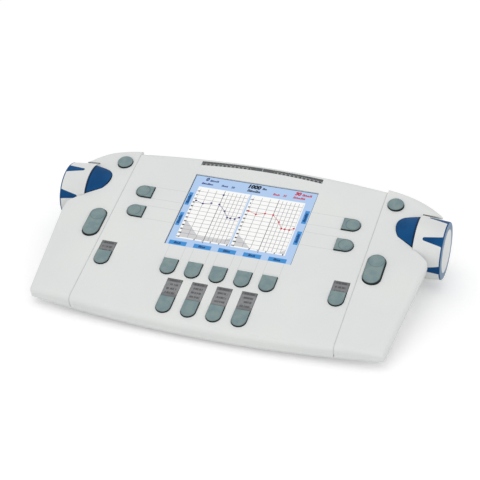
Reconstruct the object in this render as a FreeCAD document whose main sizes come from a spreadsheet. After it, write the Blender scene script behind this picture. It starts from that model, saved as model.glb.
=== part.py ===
import FreeCAD, Part
import math
import os
import Sketcher

# Desk audiometer: a sloping console with a colour screen, keys and two level dials.
# Console axes: X to the operator's right, Y to the rear, Z up, table at Z = 0.
# Most pieces are drawn in panel axes: origin at the screen's centre on the top
# surface, x right, y up the slope, z out of the panel.

doc = FreeCAD.newDocument("audiometer")
dims = doc.addObject("Spreadsheet::Sheet", "dims")

DIMENSIONS = [
    # stance of the console
    ("panel_tilt", 15.0, "slope of the panel, degrees"),
    ("panel_y", 27.75, "screen centre, distance behind the middle of the console"),
    ("panel_z", 49.8, "screen centre, height over the table"),
    # covers
    ("skin", 2.4, "thickness of the covers' top"),
    ("wall", 2.4, "thickness of every side wall"),
    ("lip_depth", 12.0, "depth of the covers, top to lower edge"),
    ("edge_round", 4.4, "radius of the covers' rolled edges"),
    ("front_reach", 128.9, "screen centre to the front edge"),
    ("front_radius", 1124.0, "bow of the front edge"),
    ("rear_reach", 67.2, "screen centre to the rear edge"),
    ("rear_radius", 922.0, "bow of the rear edge"),
    ("tub_half", 144.0, "half width of the tub"),
    ("groove_in", 26.0, "groove between the centre cover and a wing, inward of the tub's side"),
    ("groove_x", "=tub_half - groove_in", "that groove from the middle"),
    ("groove_gap", 0.8, "width of that groove"),
    ("drum_stand", 10.2, "inner edge of a dial drum past the tub's side"),
    ("dial_in_x", "=tub_half + drum_stand", "inner edge of a dial drum from the middle"),
    ("side_past", 16.0, "side of a wing past that edge"),
    ("side_x", "=dial_in_x + side_past", "half width of the wings at the dials"),
    ("corner_in", 11.2, "how far the front corners lie inward of the sides"),
    ("corner_x", "=side_x - corner_in", "half width at the front corners"),
    ("corner_round", 5.0, "radius of the front corners in plan"),
    ("side_y", 18.0, "how far in front of the screen centre that width starts"),
    ("wing_rear", 63.1, "screen centre to a wing's rear edge at the groove"),
    ("wing_rear_radius", 230.0, "bow of a wing's rear edge"),
    ("wing_rear_turn", 30.0, "centre of that bow inward of the groove"),
    ("corner_over", 37.0, "radius that rolls a wing down to its rear outer corner"),
    ("corner_over_y", 62.0, "start of that roll at the groove, behind the screen centre"),
    ("crown_radius", 187.0, "crown of a wing, which falls away to its side"),
    # dials
    ("dial_y", 20.2, "dial axis behind the screen centre, along the panel"),
    ("dial_drop", 22.7, "dial axis below the panel surface"),
    ("drum_long", 25.2, "length of a drum"),
    ("dial_out_x", "=dial_in_x + drum_long", "outer face of a drum from the middle"),
    ("dial_in_rad", 27.8, "radius of a drum at its inner edge"),
    ("dial_out_rad", 25.6, "radius of a drum at its outer face"),
    ("dial_edge", 1.0, "rounding of a drum's outer edge"),
    ("dial_wall", 2.2, "wall of a drum below the grip"),
    ("dial_gap", 0.8, "running gap round a drum"),
    ("grip_depth", 1.2, "thickness of the grip let into the drum"),
    ("grip_ring", 1.4, "width of the grip's ring on the drum's side"),
    ("grip_tip", 7.0, "plain drum inward of the finger tips"),
    ("grip_tip_half", 1.7, "half width of a finger at its tip"),
    ("grip_rim_half", 4.0, "half width of a finger at the rim"),
    ("grip_flare", 1.2, "how far a finger widens into the ring"),
    ("grip_shoulder", 2.5, "where a finger starts to widen, from the ring"),
    ("cap_rad", 19.4, "radius of the end cap"),
    ("cap_fit", 0.1, "gap round the end cap"),
    ("cap_deep", 1.8, "thickness of the end cap"),
    ("hub_rad", 6.5, "radius of the drum's hub"),
    ("shaft_rad", 3.0, "radius of the dial shaft"),
    ("shaft_fit", 0.05, "running clearance of the shaft in its bush"),
    ("right_phase", 25.5, "resting turn of the right dial"),
    ("left_phase", -6.5, "resting turn of the left dial"),
    ("collar_rad", 24.0, "radius of the collar that carries a dial"),
    ("collar_wall", 2.4, "wall of that collar"),
    ("collar_short", 3.6, "inner face of the collar's end wall, inward of the drum's edge"),
    ("collar_end_x", "=dial_in_x - collar_short", "that face from the middle"),
    ("encoder_long", 12.0, "length of a dial encoder's case"),
    ("encoder_x", "=collar_end_x - encoder_long", "inner end of a dial encoder from the middle"),
    ("encoder_half", 6.2, "half side of a dial encoder"),
    ("encoder_bush", 4.5, "radius of an encoder's threaded bush"),
    ("notch_y", 13.6, "centre of the rounding beside the drum in front of the screen centre"),
    ("notch_rad", 7.6, "radius of that rounding"),
    ("notch_lean", 33.0, "slope of the edge from that rounding to the drum, degrees"),
    # screen
    ("screen_width", 116.8, "screen opening, left to right"),
    ("screen_tall", 87.6, "screen opening, front to rear"),
    ("screen_sink", 1.1, "glass below the panel surface"),
    ("glass_thick", 1.9, "thickness of the display glass"),
    ("glass_gap", 0.3, "gap round the display glass"),
    ("backlight_rim", 4.8, "backlight tray past the opening on each side"),
    ("backlight_deep", 8.3, "depth of the backlight tray"),
    # keys
    ("key_gap", 0.35, "gap round every key"),
    ("key_proud", 1.6, "keys above the panel"),
    ("key_deep", 5.0, "underside of a key cap below the panel"),
    ("key_round", 0.8, "rounding of a key's top edge"),
    ("key_flange", 1.0, "retaining flange past the key cap"),
    ("flange_thick", 1.1, "thickness of that flange"),
    ("flange_gap", 0.3, "flange below the skin"),
    ("plunger_rad", 2.0, "radius of a key's plunger"),
    ("plunger_end", 9.5, "lower end of a plunger below the panel"),
    ("soft_pitch", 22.55, "pitch of the soft keys and the select keys"),
    ("soft_half", 6.8, "half width of a soft key"),
    ("soft_rear", 60.4, "rear edge of the soft keys in front of the screen centre"),
    ("soft_front", 77.8, "round end of the soft keys"),
    ("select_half", 6.65, "half width of a select key"),
    ("select_rear", 81.4, "rear edge of the select windows"),
    ("select_split", 101.3, "joint between select window and key"),
    ("select_front", 119.4, "round end of the select keys"),
    ("side_key_inset", 12.6, "round end of the side keys inward of the groove"),
    ("side_key_out", "=groove_x - side_key_inset", "that end from the middle"),
    ("side_key_long", 16.1, "length of the side keys"),
    ("side_key_in", "=side_key_out - side_key_long", "flat edge of the side keys from the middle"),
    ("side_key_half", 6.8, "half width of a side key"),
    ("side_key_rear", 11.8, "rear side key behind the screen centre"),
    ("side_key_front", 12.5, "front side key in front of the screen centre"),
    ("mode_inset", 11.4, "mode keys inward of the groove"),
    ("mode_x", "=groove_x - mode_inset", "mode keys from the middle"),
    ("mode_half", 6.8, "half width of a mode key"),
    ("mode_rear", 52.6, "rear edge of the mode windows"),
    ("mode_split", 63.9, "joint between mode window and key"),
    ("mode_front", 79.8, "round end of the mode keys"),
    ("window_proud", 0.3, "label windows above the panel"),
    ("window_deep", 4.0, "underside of a label window"),
    ("joint_gap", 0.3, "gap between a window and its key"),
    ("round_past", 10.9, "round keys past the groove"),
    ("round_x", "=groove_x + round_past", "round keys from the middle"),
    ("round_y", 43.8, "round keys behind the screen centre"),
    ("round_rad", 7.2, "radius of a round key"),
    ("round_flange", 0.7, "retaining flange past a round key"),
    ("rocker_past", 11.2, "rocker keys past the groove"),
    ("rocker_x", "=groove_x + rocker_past", "rocker keys from the middle"),
    ("rocker_y", 33.4, "rocker keys in front of the screen centre"),
    ("rocker_half", 7.9, "half width of a rocker key"),
    ("rocker_long", 16.6, "half length of a rocker key"),
    ("rocker_gap", 0.6, "gap round a rocker key"),
    ("rocker_cap_deep", 3.6, "underside of a rocker key's cap"),
    ("rocker_pin", 1.2, "radius of a rocker's pivot pin"),
    ("rocker_pin_fit", 0.08, "running clearance of the pin in its lugs"),
    ("rocker_pin_deep", 5.0, "pivot below the panel"),
    ("lug_clear", 0.5, "rocker slot to a pivot lug"),
    ("lug_half", 3.2, "half width of a pivot lug"),
    ("lug_below", 3.0, "pivot lug below the pivot"),
    ("rocker_throw", 10.0, "rocker plungers from the pivot"),
    ("lug_thick", 2.2, "thickness of a pivot lug"),
    ("grille_half", 58.0, "half length of the speaker grille"),
    ("grille_rear", 63.2, "rear edge of the grille behind the screen centre"),
    ("grille_front", 58.9, "front edge of the grille behind the screen centre"),
    ("grille_rear_radius", 700.0, "bow of the grille's rear edge"),
    ("grille_front_radius", 480.0, "bow of the grille's front edge"),
    ("grille_pitch", 3.9, "pitch of the grille's slots"),
    ("grille_slot", 2.3, "width of a slot"),
    ("grille_end", 2.4, "centre of the outermost slot from the grille's end"),
    ("grille_rim", 0.7, "plain strip in front of and behind the slots"),
    ("grille_fit", 0.2, "gap round the grille"),
    ("grille_lip", 1.4, "grille's lip past its opening"),
    ("speaker_x", 32.0, "monitor speaker left of the middle"),
    ("speaker_y", 56.5, "monitor speaker behind the screen centre"),
    ("speaker_half", 20.0, "half length of the monitor speaker"),
    ("speaker_half_wide", 6.0, "half width of the monitor speaker"),
    ("speaker_basket", 3.5, "thickness of its basket"),
    ("level_long", 19.2, "length of a level key inward of the drum's edge"),
    ("level_in_x", "=dial_in_x - level_long", "inner end of a level key from the middle"),
    ("level_rear", 13.0, "rear edge of a level key behind the dial axis"),
    ("level_bow", 11.0, "radius of its rear corner"),
    ("level_heel_x", 4.5, "its heel from its inner end"),
    ("level_heel_y", 11.3, "its heel in front of the dial axis"),
    ("level_heel_round", 4.0, "rounding of the heel"),
    ("level_front", 18.9, "its front tip in front of the dial axis"),
    ("level_deep", 7.4, "underside of a level key"),
    ("level_well", 9.2, "floor of a level key's well"),
    ("level_cone", 23.2, "radius of a level key's top at its inner end"),
    ("level_knob_gap", 0.5, "level key to drum"),
    ("level_wall", 1.6, "wall of a level key's well"),
    ("level_plunger_in", 2.8, "plunger of a level key from its inner end"),
    ("level_plunger_x", "=level_in_x + level_plunger_in", "that plunger from the middle"),
    # bottom shell
    ("foot_high", 3.0, "bottom shell over the table"),
    ("floor_thick", 2.4, "floor of the bottom shell"),
    ("tray_inset", 1.0, "flange inside the covers' edge"),
    ("tray_thick", 2.4, "thickness of the flange"),
    ("tub_front", -77.65, "front wall of the tub"),
    ("tub_rear", 79.75, "rear wall of the tub"),
    ("tub_round", 6.0, "radius of the tub's upright corners"),
    ("post_rad", 3.4, "radius of a screw post"),
    ("screw_rad", 1.4, "radius of a screw's shank"),
    ("head_rad", 2.7, "radius of a screw's head"),
    ("head_high", 1.6, "height of a screw's head"),
    ("foot_rad", 7.0, "radius of a rubber foot"),
    ("foot_sink", 1.0, "foot let into the floor"),
    ("foot_in", 22.0, "feet inward of the tub's sides"),
    ("foot_x", "=tub_half - foot_in", "feet from the middle"),
    ("foot_front", -66.0, "front feet, distance behind the middle"),
    ("foot_rear", 66.0, "rear feet, distance behind the middle"),
    # inside
    ("board_thick", 1.6, "thickness of the circuit boards"),
    ("key_board_top", 12.6, "key board below the panel"),
    ("board_clear", 0.6, "key board to the tub's side walls"),
    ("key_board_half", "=tub_half - wall - board_clear", "half width of the key board"),
    ("key_board_front", 109.8, "front edge of the key board in front of the screen centre"),
    ("key_board_rear", 47.0, "rear edge of the key board"),
    ("switch_side", 6.0, "side of a key switch"),
    ("switch_high", 1.6, "height of a key switch"),
    ("main_board_z", 12.0, "main board over the table"),
    ("main_board_half", 100.0, "half width of the main board"),
    ("main_board_front", -12.0, "front edge of the main board"),
    ("main_board_rear", 47.0, "rear edge of the main board"),
    ("socket_half", 120.0, "half width of the socket plate"),
    ("socket_low", 9.5, "lower edge of the socket plate"),
    ("socket_tall", 31.0, "height of the socket plate"),
    ("socket_thick", 2.0, "thickness of the socket plate"),
    ("socket_lap", 3.0, "plate past its opening"),
    ("plate_screw_rad", 1.2, "radius of the socket plate's screws"),
    ("power_in", 12.0, "power switch inward of the socket plate's end"),
    ("power_x", "=socket_half - power_in", "power switch from the middle"),
    ("inlet_step", 15.0, "power switch to power inlet"),
    ("inlet_x", "=power_x - inlet_step", "power inlet from the middle"),
    ("usb_step", 15.0, "power inlet to USB socket"),
    ("usb_x", "=inlet_x - usb_step", "USB socket from the middle"),
    ("small_step", 15.0, "USB socket to the last small jack"),
    ("small_pitch", 13.0, "pitch of the small jacks"),
    ("small_first", "=usb_x - small_step - 2 * small_pitch", "first of the three small jacks"),
    ("large_step", 19.0, "first small jack to the last large jack"),
    ("jack_in", 28.0, "first large jack inward of the socket plate's other end"),
    ("jack_first", "=jack_in - socket_half", "first of the six large jacks"),
    ("jack_pitch", "=(small_first - large_step - jack_first) / 5", "pitch of the large jacks"),
    ("jack_bore", 3.3, "bore radius of a large jack"),
    ("jack_bush", 5.0, "radius of a large jack's bush"),
    ("small_bore", 1.8, "bore radius of a small jack"),
    ("small_bush", 3.0, "radius of a small jack's bush"),
    ("jack_stand", 2.6, "jack bushes past the socket plate"),
    ("jack_case", 7.6, "half side of a large jack's case"),
    ("jack_deep", 24.0, "depth of a large jack's bore"),
    ("small_case", 4.6, "half side of a small jack's case"),
    ("small_deep", 15.0, "depth of a small jack's bore"),
    ("connector_y", 50.35, "front face of the connector board"),
    ("power_angle", 8.0, "power rocker either side of level, degrees"),
    ("power_half", 6.0, "half width of the power switch"),
    ("power_half_tall", 8.6, "half height of the power switch"),
    ("power_pin", 1.0, "radius of the power rocker's axle"),
    ("usb_half", 6.0, "half width of the USB socket"),
    ("usb_half_tall", 5.6, "half height of the USB socket"),
    ("inlet_half", 5.5, "half side of the power inlet"),
    ("inlet_bore_rad", 3.2, "bore radius of the power inlet"),
    ("inlet_pin_rad", 1.0, "radius of the power inlet's pin"),
    ("inlet_deep", 10.0, "depth of the power inlet"),
    ("usb_deep", 9.0, "depth of the USB socket"),
    ("socket_stand", 0.8, "USB socket and power inlet past the plate"),
    ("socket_shell", 0.6, "wall of the USB socket"),
    ("power_deep", 12.0, "power switch behind the plate"),
    ("power_wall", 1.1, "wall of the power switch"),
    ("power_well_deep", 8.0, "depth of the power switch's well"),
    ("power_rise", 4.7, "face of the power rocker past its axle"),
    ("power_back", 3.0, "underside of the power rocker behind its axle"),
    ("power_dish", 18.0, "radius of the power rocker's dished face"),
    ("power_dish_deep", 1.0, "depth of that dish"),
]
for row, (alias, size, note) in enumerate(DIMENSIONS, 1):
    dims.set(f"A{row}", str(size))
    dims.setAlias(f"A{row}", alias)
    dims.set(f"B{row}", note)
doc.recompute()

NAMES = {alias for alias, size, note in DIMENSIONS}
parts = []


def full(formula):
    """The formula with each size name written as the sheet's cell."""
    words = []
    word = ""
    for sign in str(formula) + " ":
        if sign.isalnum() or sign == "_":
            word += sign
            continue
        words.append(f"dims.{word}" if word in NAMES else word)
        words.append(sign)
        word = ""
    return "".join(words).strip()


def value(formula):
    """What a formula of sizes comes to."""
    return float(dims.evalExpression(full(formula)))


def bind(item, **formulas):
    """Tie properties of an object to formulas of the sheet."""
    for name, formula in formulas.items():
        item.setExpression(name.replace("__", "."), full(formula))


def on_panel(item):
    """Lean an object that is drawn in panel axes."""
    item.Placement = FreeCAD.Placement(
        FreeCAD.Vector(), FreeCAD.Rotation(FreeCAD.Vector(1, 0, 0), value("panel_tilt"))
    )
    bind(item, Placement__Base__y="panel_y", Placement__Base__z="panel_z",
         Placement__Rotation__Angle="panel_tilt")
    return item


def part(item, name):
    """Name a finished sub-part."""
    item.Label = name
    parts.append(item)
    return item


def new_body(name):
    return doc.addObject("PartDesign::Body", name)


def origin_plane(body, role):
    return [f for f in body.Origin.OriginFeatures if f.Role == role][0]


def arc_centre(start, end, axis, level):
    """Centre of an arc from start to end whose x or y is given."""
    (ax, ay), (bx, by) = start, end
    if axis == "y":
        across = (bx**2 - ax**2 + by**2 - ay**2 - 2 * level * (by - ay)) / (2 * (bx - ax))
        return across, level
    across = (bx**2 - ax**2 + by**2 - ay**2 - 2 * level * (bx - ax)) / (2 * (by - ay))
    return level, across


def sketch(body, name, loops, height=0, plane="XY_Plane"):
    """Closed loops on an origin plane. A loop is ("circle", x, y, radius) or a list
    of corners (x, y), or (x, y, axis, level, turn) where an arc leaves the corner:
    its centre has that x or y, and turn is 1 anticlockwise, -1 clockwise."""
    drawing = body.newObject("Sketcher::SketchObject", name)
    drawing.AttachmentSupport = [(origin_plane(body, plane), "")]
    drawing.MapMode = "FlatFace"
    if height != 0:
        bind(drawing, AttachmentOffset__Base__z=height)

    def fix(kind, edge, end, formula):
        number = value(formula)
        index = drawing.addConstraint(Sketcher.Constraint(kind, -1, 1, edge, end, number))
        drawing.setExpression(f"Constraints[{index}]", full(formula))

    for loop in loops:
        if loop[0] == "circle":
            x, y, radius = loop[1:]
            disc = Part.Circle(
                FreeCAD.Vector(value(x), value(y), 0), FreeCAD.Vector(0, 0, 1), value(radius)
            )
            edge = drawing.addGeometry(disc)
            fix("DistanceX", edge, 3, x)
            fix("DistanceY", edge, 3, y)
            index = drawing.addConstraint(Sketcher.Constraint("Radius", edge, value(radius)))
            drawing.setExpression(f"Constraints[{index}]", full(radius))
            continue
        spots = [(value(corner[0]), value(corner[1])) for corner in loop]
        edges = []
        for i, corner in enumerate(loop):
            start, end = spots[i], spots[(i + 1) % len(loop)]
            if len(corner) == 2:
                line = Part.LineSegment(FreeCAD.Vector(*start, 0), FreeCAD.Vector(*end, 0))
                edges.append((drawing.addGeometry(line), 1, 2))
                continue
            axis, level, turn = corner[2:]
            cx, cy = arc_centre(start, end, axis, value(level))
            circle = Part.Circle(
                FreeCAD.Vector(cx, cy, 0), FreeCAD.Vector(0, 0, 1),
                math.hypot(start[0] - cx, start[1] - cy),
            )
            first = math.atan2(start[1] - cy, start[0] - cx)
            last = math.atan2(end[1] - cy, end[0] - cx)
            if turn > 0:
                edges.append((drawing.addGeometry(Part.ArcOfCircle(circle, first, last)), 1, 2))
            else:
                edges.append((drawing.addGeometry(Part.ArcOfCircle(circle, last, first)), 2, 1))
        for i, (edge, start, end) in enumerate(edges):
            following = edges[(i + 1) % len(edges)]
            drawing.addConstraint(
                Sketcher.Constraint("Coincident", edge, end, following[0], following[1])
            )
            fix("DistanceX", edge, start, loop[i][0])
            fix("DistanceY", edge, start, loop[i][1])
            if len(loop[i]) > 2:
                fix("Distance" + loop[i][2].upper(), edge, 3, loop[i][3])
    return drawing


def pad(body, name, loops, low, length, plane="XY_Plane"):
    """Extrude loops from the level low, along the plane's normal."""
    feature = body.newObject("PartDesign::Pad", name)
    feature.Profile = sketch(body, name + "_outline", loops, low, plane)
    bind(feature, Length=length)
    return feature


def pocket(body, name, loops, low, length, plane="XY_Plane"):
    """Remove loops from the level low, along the plane's normal."""
    feature = body.newObject("PartDesign::Pocket", name)
    feature.Profile = sketch(body, name + "_outline", loops, low, plane)
    feature.Reversed = True
    bind(feature, Length=length)
    return feature


def revolve(body, name, loops, plane="XY_Plane", kind="Revolution"):
    """Turn loops a full circle about the body's X axis."""
    feature = body.newObject("PartDesign::" + kind, name)
    feature.Profile = sketch(body, name + "_outline", loops, 0, plane)
    feature.ReferenceAxis = (origin_plane(body, "X_Axis"), [""])
    feature.Angle = 360
    return feature


def fillet(body, name, base, radius, test):
    """Round the edges of base that pass the test."""
    doc.recompute()
    chosen = [f"Edge{i}" for i, edge in enumerate(base.Shape.Edges, 1) if test(edge)]
    feature = body.newObject("PartDesign::Fillet", name)
    feature.Base = (base, chosen)
    bind(feature, Radius=radius)
    return feature


def level_edge(height):
    """A test for edges that lie flat at a height."""
    target = value(height)
    return lambda edge: all(abs(v.Z - target) < 1e-3 for v in edge.Vertexes) \
        and abs(edge.CenterOfMass.z - target) < 1e-3


def primitive(kind, name, **formulas):
    item = doc.addObject("Part::" + kind, name)
    bind(item, **formulas)
    return item


def cut(name, base, *tools):
    item = doc.addObject("Part::Cut", name)
    item.Base = base
    item.Tool = tools[0] if len(tools) == 1 else fuse(name + "_tools", *tools)
    return item


def fuse(name, *items):
    item = doc.addObject("Part::MultiFuse", name)
    item.Shapes = list(items)
    return item


def common(name, first, second):
    item = doc.addObject("Part::Common", name)
    item.Base = first
    item.Tool = second
    return item


def group(name, items):
    item = doc.addObject("Part::Compound", name)
    item.Links = items
    return item


# ---------------------------------------------------------------- outlines
def tongue(x, flat, tip, half, grow="0", grow_flat=None):
    """A key that is flat at the rear and round at the front."""
    back = grow if grow_flat is None else grow_flat
    side = f"({half} + {grow})"
    turn_y = f"-({tip}) - {grow} + {side}"
    return [
        (f"{x} - {side}", f"-({flat}) + {back}"),
        (f"{x} + {side}", f"-({flat}) + {back}"),
        (f"{x} + {side}", turn_y, "y", turn_y, -1),
        (f"{x} - {side}", turn_y),
    ]


def side_tongue(side, y, grow="0"):
    """A side key, flat toward the screen and round at its outer end."""
    half = f"(side_key_half + {grow})"
    turn_x = f"{side} * (side_key_out + {grow} - {half})"
    flat_x = f"{side} * (side_key_in - {grow})"
    return [
        (flat_x, f"{y} + {half}"),
        (turn_x, f"{y} + {half}", "x", turn_x, -side),
        (turn_x, f"{y} - {half}"),
        (flat_x, f"{y} - {half}"),
    ]


def block(x, rear, front, half, grow="0", grow_flat="0"):
    """A rectangle between rear and front; grow_flat is its growth at the front."""
    return [
        (f"{x} - {half} - {grow}", f"-({rear}) + {grow}"),
        (f"{x} + {half} + {grow}", f"-({rear}) + {grow}"),
        (f"{x} + {half} + {grow}", f"-({front}) - {grow_flat}"),
        (f"{x} - {half} - {grow}", f"-({front}) - {grow_flat}"),
    ]


def stadium(x, y, half, long, grow="0"):
    """A slot shape with its length along the slope."""
    top = f"{y} + {long} - {half}"
    low = f"{y} - {long} + {half}"
    side = f"({half} + {grow})"
    return [
        (f"{x} - {side}", top, "y", top, -1),
        (f"{x} + {side}", top),
        (f"{x} + {side}", low, "y", low, -1),
        (f"{x} - {side}", low),
    ]


def rectangle(x0, y0, x1, y1):
    return [(x0, y0), (x1, y0), (x1, y1), (x0, y1)]


def level_outline(side, grow="0", axis_y="0", open_by="0"):
    """A level key: a half teardrop whose straight side faces the drum. Its y starts at
    the dial's axis, which lies at axis_y."""
    outer = f"{side} * (dial_in_x - level_knob_gap + {open_by})"
    rear = f"{axis_y} + level_rear + {grow}"
    turn_x = f"{side} * (level_in_x + level_bow)"
    turn_y = f"{axis_y} + level_rear - level_bow"
    heel = f"{side} * (level_in_x + level_heel_x - 0.6 * {grow})"
    return [
        (outer, rear),
        (turn_x, rear, "x", turn_x, side),
        (f"{side} * (level_in_x - {grow})", turn_y, "y", turn_y, side),
        (heel, f"{axis_y} - level_heel_y - 0.8 * {grow}"),
        (outer, f"{axis_y} - level_front - 1.2 * {grow} - 0.54 * {open_by}"),
    ]


# ---------------------------------------------------------------- centre cover
SIDES = (-1, 1)
SOFT = [f"({i} * soft_pitch)" for i in (-2, -1, 0, 1, 2)]
SELECT = [f"({i} * soft_pitch)" for i in (-1.5, -0.5, 0.5, 1.5)]
SIDE_ROWS = ["side_key_rear", "-side_key_front"]
COVER_SCREWS = [(s + x, y) for x, y in (("(groove_x - 13)", "-119"), ("56", "-119.5"),
                                        ("(groove_x - 14)", "53"), ("70", "55")) for s in ("-", "")]
BOARD_POSTS = [(s + x, y) for x, y in (("82", "36"), ("82", "-42"), ("70", "-98")) for s in ("-", "")]
WING_SCREWS = [("(side_x - 14.2)", "-95"), ("(side_x - 14.2)", "-42"), ("(groove_x + 17)", "54")]


def front_y(x, grow="0"):
    """The bowed front edge at x, moved in by grow."""
    bow = f"(front_radius - {grow})"
    return f"{bow} - front_reach + {grow} - sqrt({bow}^2 - ({x})^2)"


def rear_y(x, grow="0"):
    """The bowed rear edge of the centre cover at x, moved in by grow."""
    bow = f"(rear_radius - {grow})"
    return f"rear_reach - {grow} - {bow} + sqrt({bow}^2 - ({x})^2)"


def centre_outline(half, grow="0"):
    return [
        (f"-({half})", front_y(half, grow), "y", "front_radius - front_reach", 1),
        (half, front_y(half, grow)),
        (half, rear_y(half, grow), "y", "rear_reach - rear_radius", 1),
        (f"-({half})", rear_y(half, grow)),
    ]


def wing_outline(side, start, grow="0"):
    """A wing from the line x = start outward."""
    def mirrored(x):
        return f"{side} * ({x})"

    def rear_end(x):
        bow = f"sqrt((wing_rear_radius - {grow})^2 - ({x} - groove_x + wing_rear_turn)^2)"
        return f"wing_rear - sqrt(wing_rear_radius^2 - wing_rear_turn^2) + {bow}"

    corner = f"(corner_x - {grow})"
    outer = f"(side_x - {grow})"
    return [
        (mirrored(start), front_y(start, grow), "x", "0", side),
        (mirrored(corner), front_y(corner, grow)),
        (mirrored(outer), "-side_y"),
        (mirrored(outer), rear_end(outer), "x", mirrored("groove_x - wing_rear_turn"), side),
        (mirrored(start), rear_end(start)),
    ]


def box(name, low, high):
    """A box between two corners, each corner a list of three formulas."""
    item = doc.addObject("Part::Box", name)
    spans = [f"({b}) - ({a})" for a, b in zip(low, high)]
    bind(item, Length=spans[0], Width=spans[1], Height=spans[2],
         Placement__Base__x=low[0], Placement__Base__y=low[1], Placement__Base__z=low[2])
    return item


TURNS = {"x": ((0, 1, 0), 90), "y": ((1, 0, 0), -90), "z": ((0, 0, 1), 0)}


def aim(item, start, axis):
    """Put a cylinder's or cone's base at start, with its length along an axis."""
    direction, angle = TURNS[axis]
    item.Placement = FreeCAD.Placement(
        FreeCAD.Vector(), FreeCAD.Rotation(FreeCAD.Vector(*direction), angle)
    )
    bind(item, Placement__Base__x=start[0], Placement__Base__y=start[1], Placement__Base__z=start[2])
    return item


def rod(name, start, axis, radius, length):
    return aim(primitive("Cylinder", name, Radius=radius, Height=length), start, axis)


def span_rod(name, side, inner, outer, centre, radius):
    """A rod along X between two distances from the middle, on one side."""
    start = inner if side > 0 else f"-({outer})"
    return rod(name, [start, *centre], "x", radius, f"({outer}) - ({inner})")


SIDE_NAMES = {-1: "left", 1: "right"}
DIAL_CENTRE = ["dial_y", "-dial_drop"]


def dial_recess(name, side, grow="0"):
    """The space that the covers leave for a dial: the drum's bay and the open notch in
    front of and outside the drum."""
    low, high = "-lip_depth - 5", "10"
    bay = span_rod(name + "_bay", side, f"dial_in_x - 0.3 - {grow}", "side_x + 14", DIAL_CENTRE,
                   f"dial_in_rad + dial_gap + {grow}")

    def mirrored(x):
        return f"{side} * ({x})"

    notch = new_body(name + "_notch")
    corner = f"(notch_rad - {grow})"
    nose = [f"side_x - notch_rad + {corner} * sin(notch_lean)", f"{corner} * cos(notch_lean) - notch_y"]
    throat = f"(dial_in_x - 0.6 - {grow})"
    pad(notch, "notch", [[
        (mirrored(throat), f"({nose[1]}) + (({nose[0]}) - {throat}) * tan(notch_lean)"),
        (mirrored(nose[0]), nose[1], "y", "-notch_y", -side),
        (mirrored(f"side_x - {grow}"), "-notch_y"),
        (mirrored("side_x + 14"), "-notch_y"),
        (mirrored("side_x + 14"), "dial_y + 15"),
        (mirrored(throat), "dial_y + 15"),
    ]], low, f"({high}) - ({low})")
    return [bay, notch]


def corner_roll(name, side, grow="0"):
    """All that lies outside the roll that takes a wing down to its rear outer corner. Its
    axis is level and slants across the corner."""
    over = box(name + "_block", ["0", "-70", "0"], ["60", "70", "corner_over + 10"])
    roller = rod(name + "_roller", ["0", "-71", "0"], "y", f"corner_over - {grow}", "142")
    item = cut(name, over, roller)
    item.Placement = FreeCAD.Placement(
        FreeCAD.Vector(), FreeCAD.Rotation(FreeCAD.Vector(0, 0, 1), 90 - 45 * side)
    )
    bind(item, Placement__Base__x=f"{side} * groove_x", Placement__Base__y="corner_over_y",
         Placement__Base__z="-corner_over")
    return item


# ---------------------------------------------------------------- centre cover
cover = new_body("centre_cover_body")
half_cover = "(groove_x - groove_gap / 2)"
slab = pad(cover, "slab", [centre_outline(half_cover)], "-lip_depth", "lip_depth")
rolled = fillet(cover, "rolled_edges", slab, "edge_round",
                lambda edge: level_edge("0")(edge) and edge.Curve.TypeId == "Part::GeomCircle")
pocket(cover, "hollow", [centre_outline(f"(groove_x - groove_gap / 2 - wall)", "wall")],
       "-lip_depth", "lip_depth - skin")
pad(cover, "screw_posts", [("circle", x, y, "post_rad") for x, y in COVER_SCREWS],
    "-lip_depth", "lip_depth - skin")
pad(cover, "board_posts", [("circle", x, y, "post_rad") for x, y in BOARD_POSTS],
    "-key_board_top", "key_board_top - skin")
pocket(cover, "screw_holes", [("circle", x, y, "screw_rad + 0.05") for x, y in COVER_SCREWS + BOARD_POSTS],
       "-key_board_top - 1", "key_board_top - skin - 1")
high_cut = ["-skin - 1", "skin + 3"]
pocket(cover, "screen_opening", [rectangle("-screen_width / 2", "-screen_tall / 2",
                                           "screen_width / 2", "screen_tall / 2")], *high_cut)
pocket(cover, "soft_openings",
       [tongue(x, "soft_rear", "soft_front", "soft_half", "key_gap") for x in SOFT], *high_cut)
pocket(cover, "select_openings",
       [tongue(x, "select_rear", "select_front", "select_half", "key_gap") for x in SELECT], *high_cut)
pocket(cover, "side_openings",
       [side_tongue(side, y, "key_gap") for side in SIDES for y in SIDE_ROWS], *high_cut)
pocket(cover, "mode_openings",
       [tongue(f"{side} * mode_x", "mode_rear", "mode_front", "mode_half", "key_gap")
        for side in SIDES], *high_cut)


def grille_outline(grow="0"):
    """The bowed strip behind the screen."""
    half = f"(grille_half + {grow})"
    rear = f"(grille_rear + {grow})"
    front = f"(grille_front - {grow})"
    rear_end = f"{rear} - grille_rear_radius + sqrt(grille_rear_radius^2 - {half}^2)"
    front_end = f"{front} - grille_front_radius + sqrt(grille_front_radius^2 - {half}^2)"
    return [
        (f"-{half}", front_end, "y", f"{front} - grille_front_radius", -1),
        (half, front_end),
        (half, rear_end, "y", f"{rear} - grille_rear_radius", 1),
        (f"-{half}", rear_end),
    ]


pocket(cover, "grille_opening", [grille_outline()], *high_cut)
part(on_panel(cover), "centre_cover")

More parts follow.
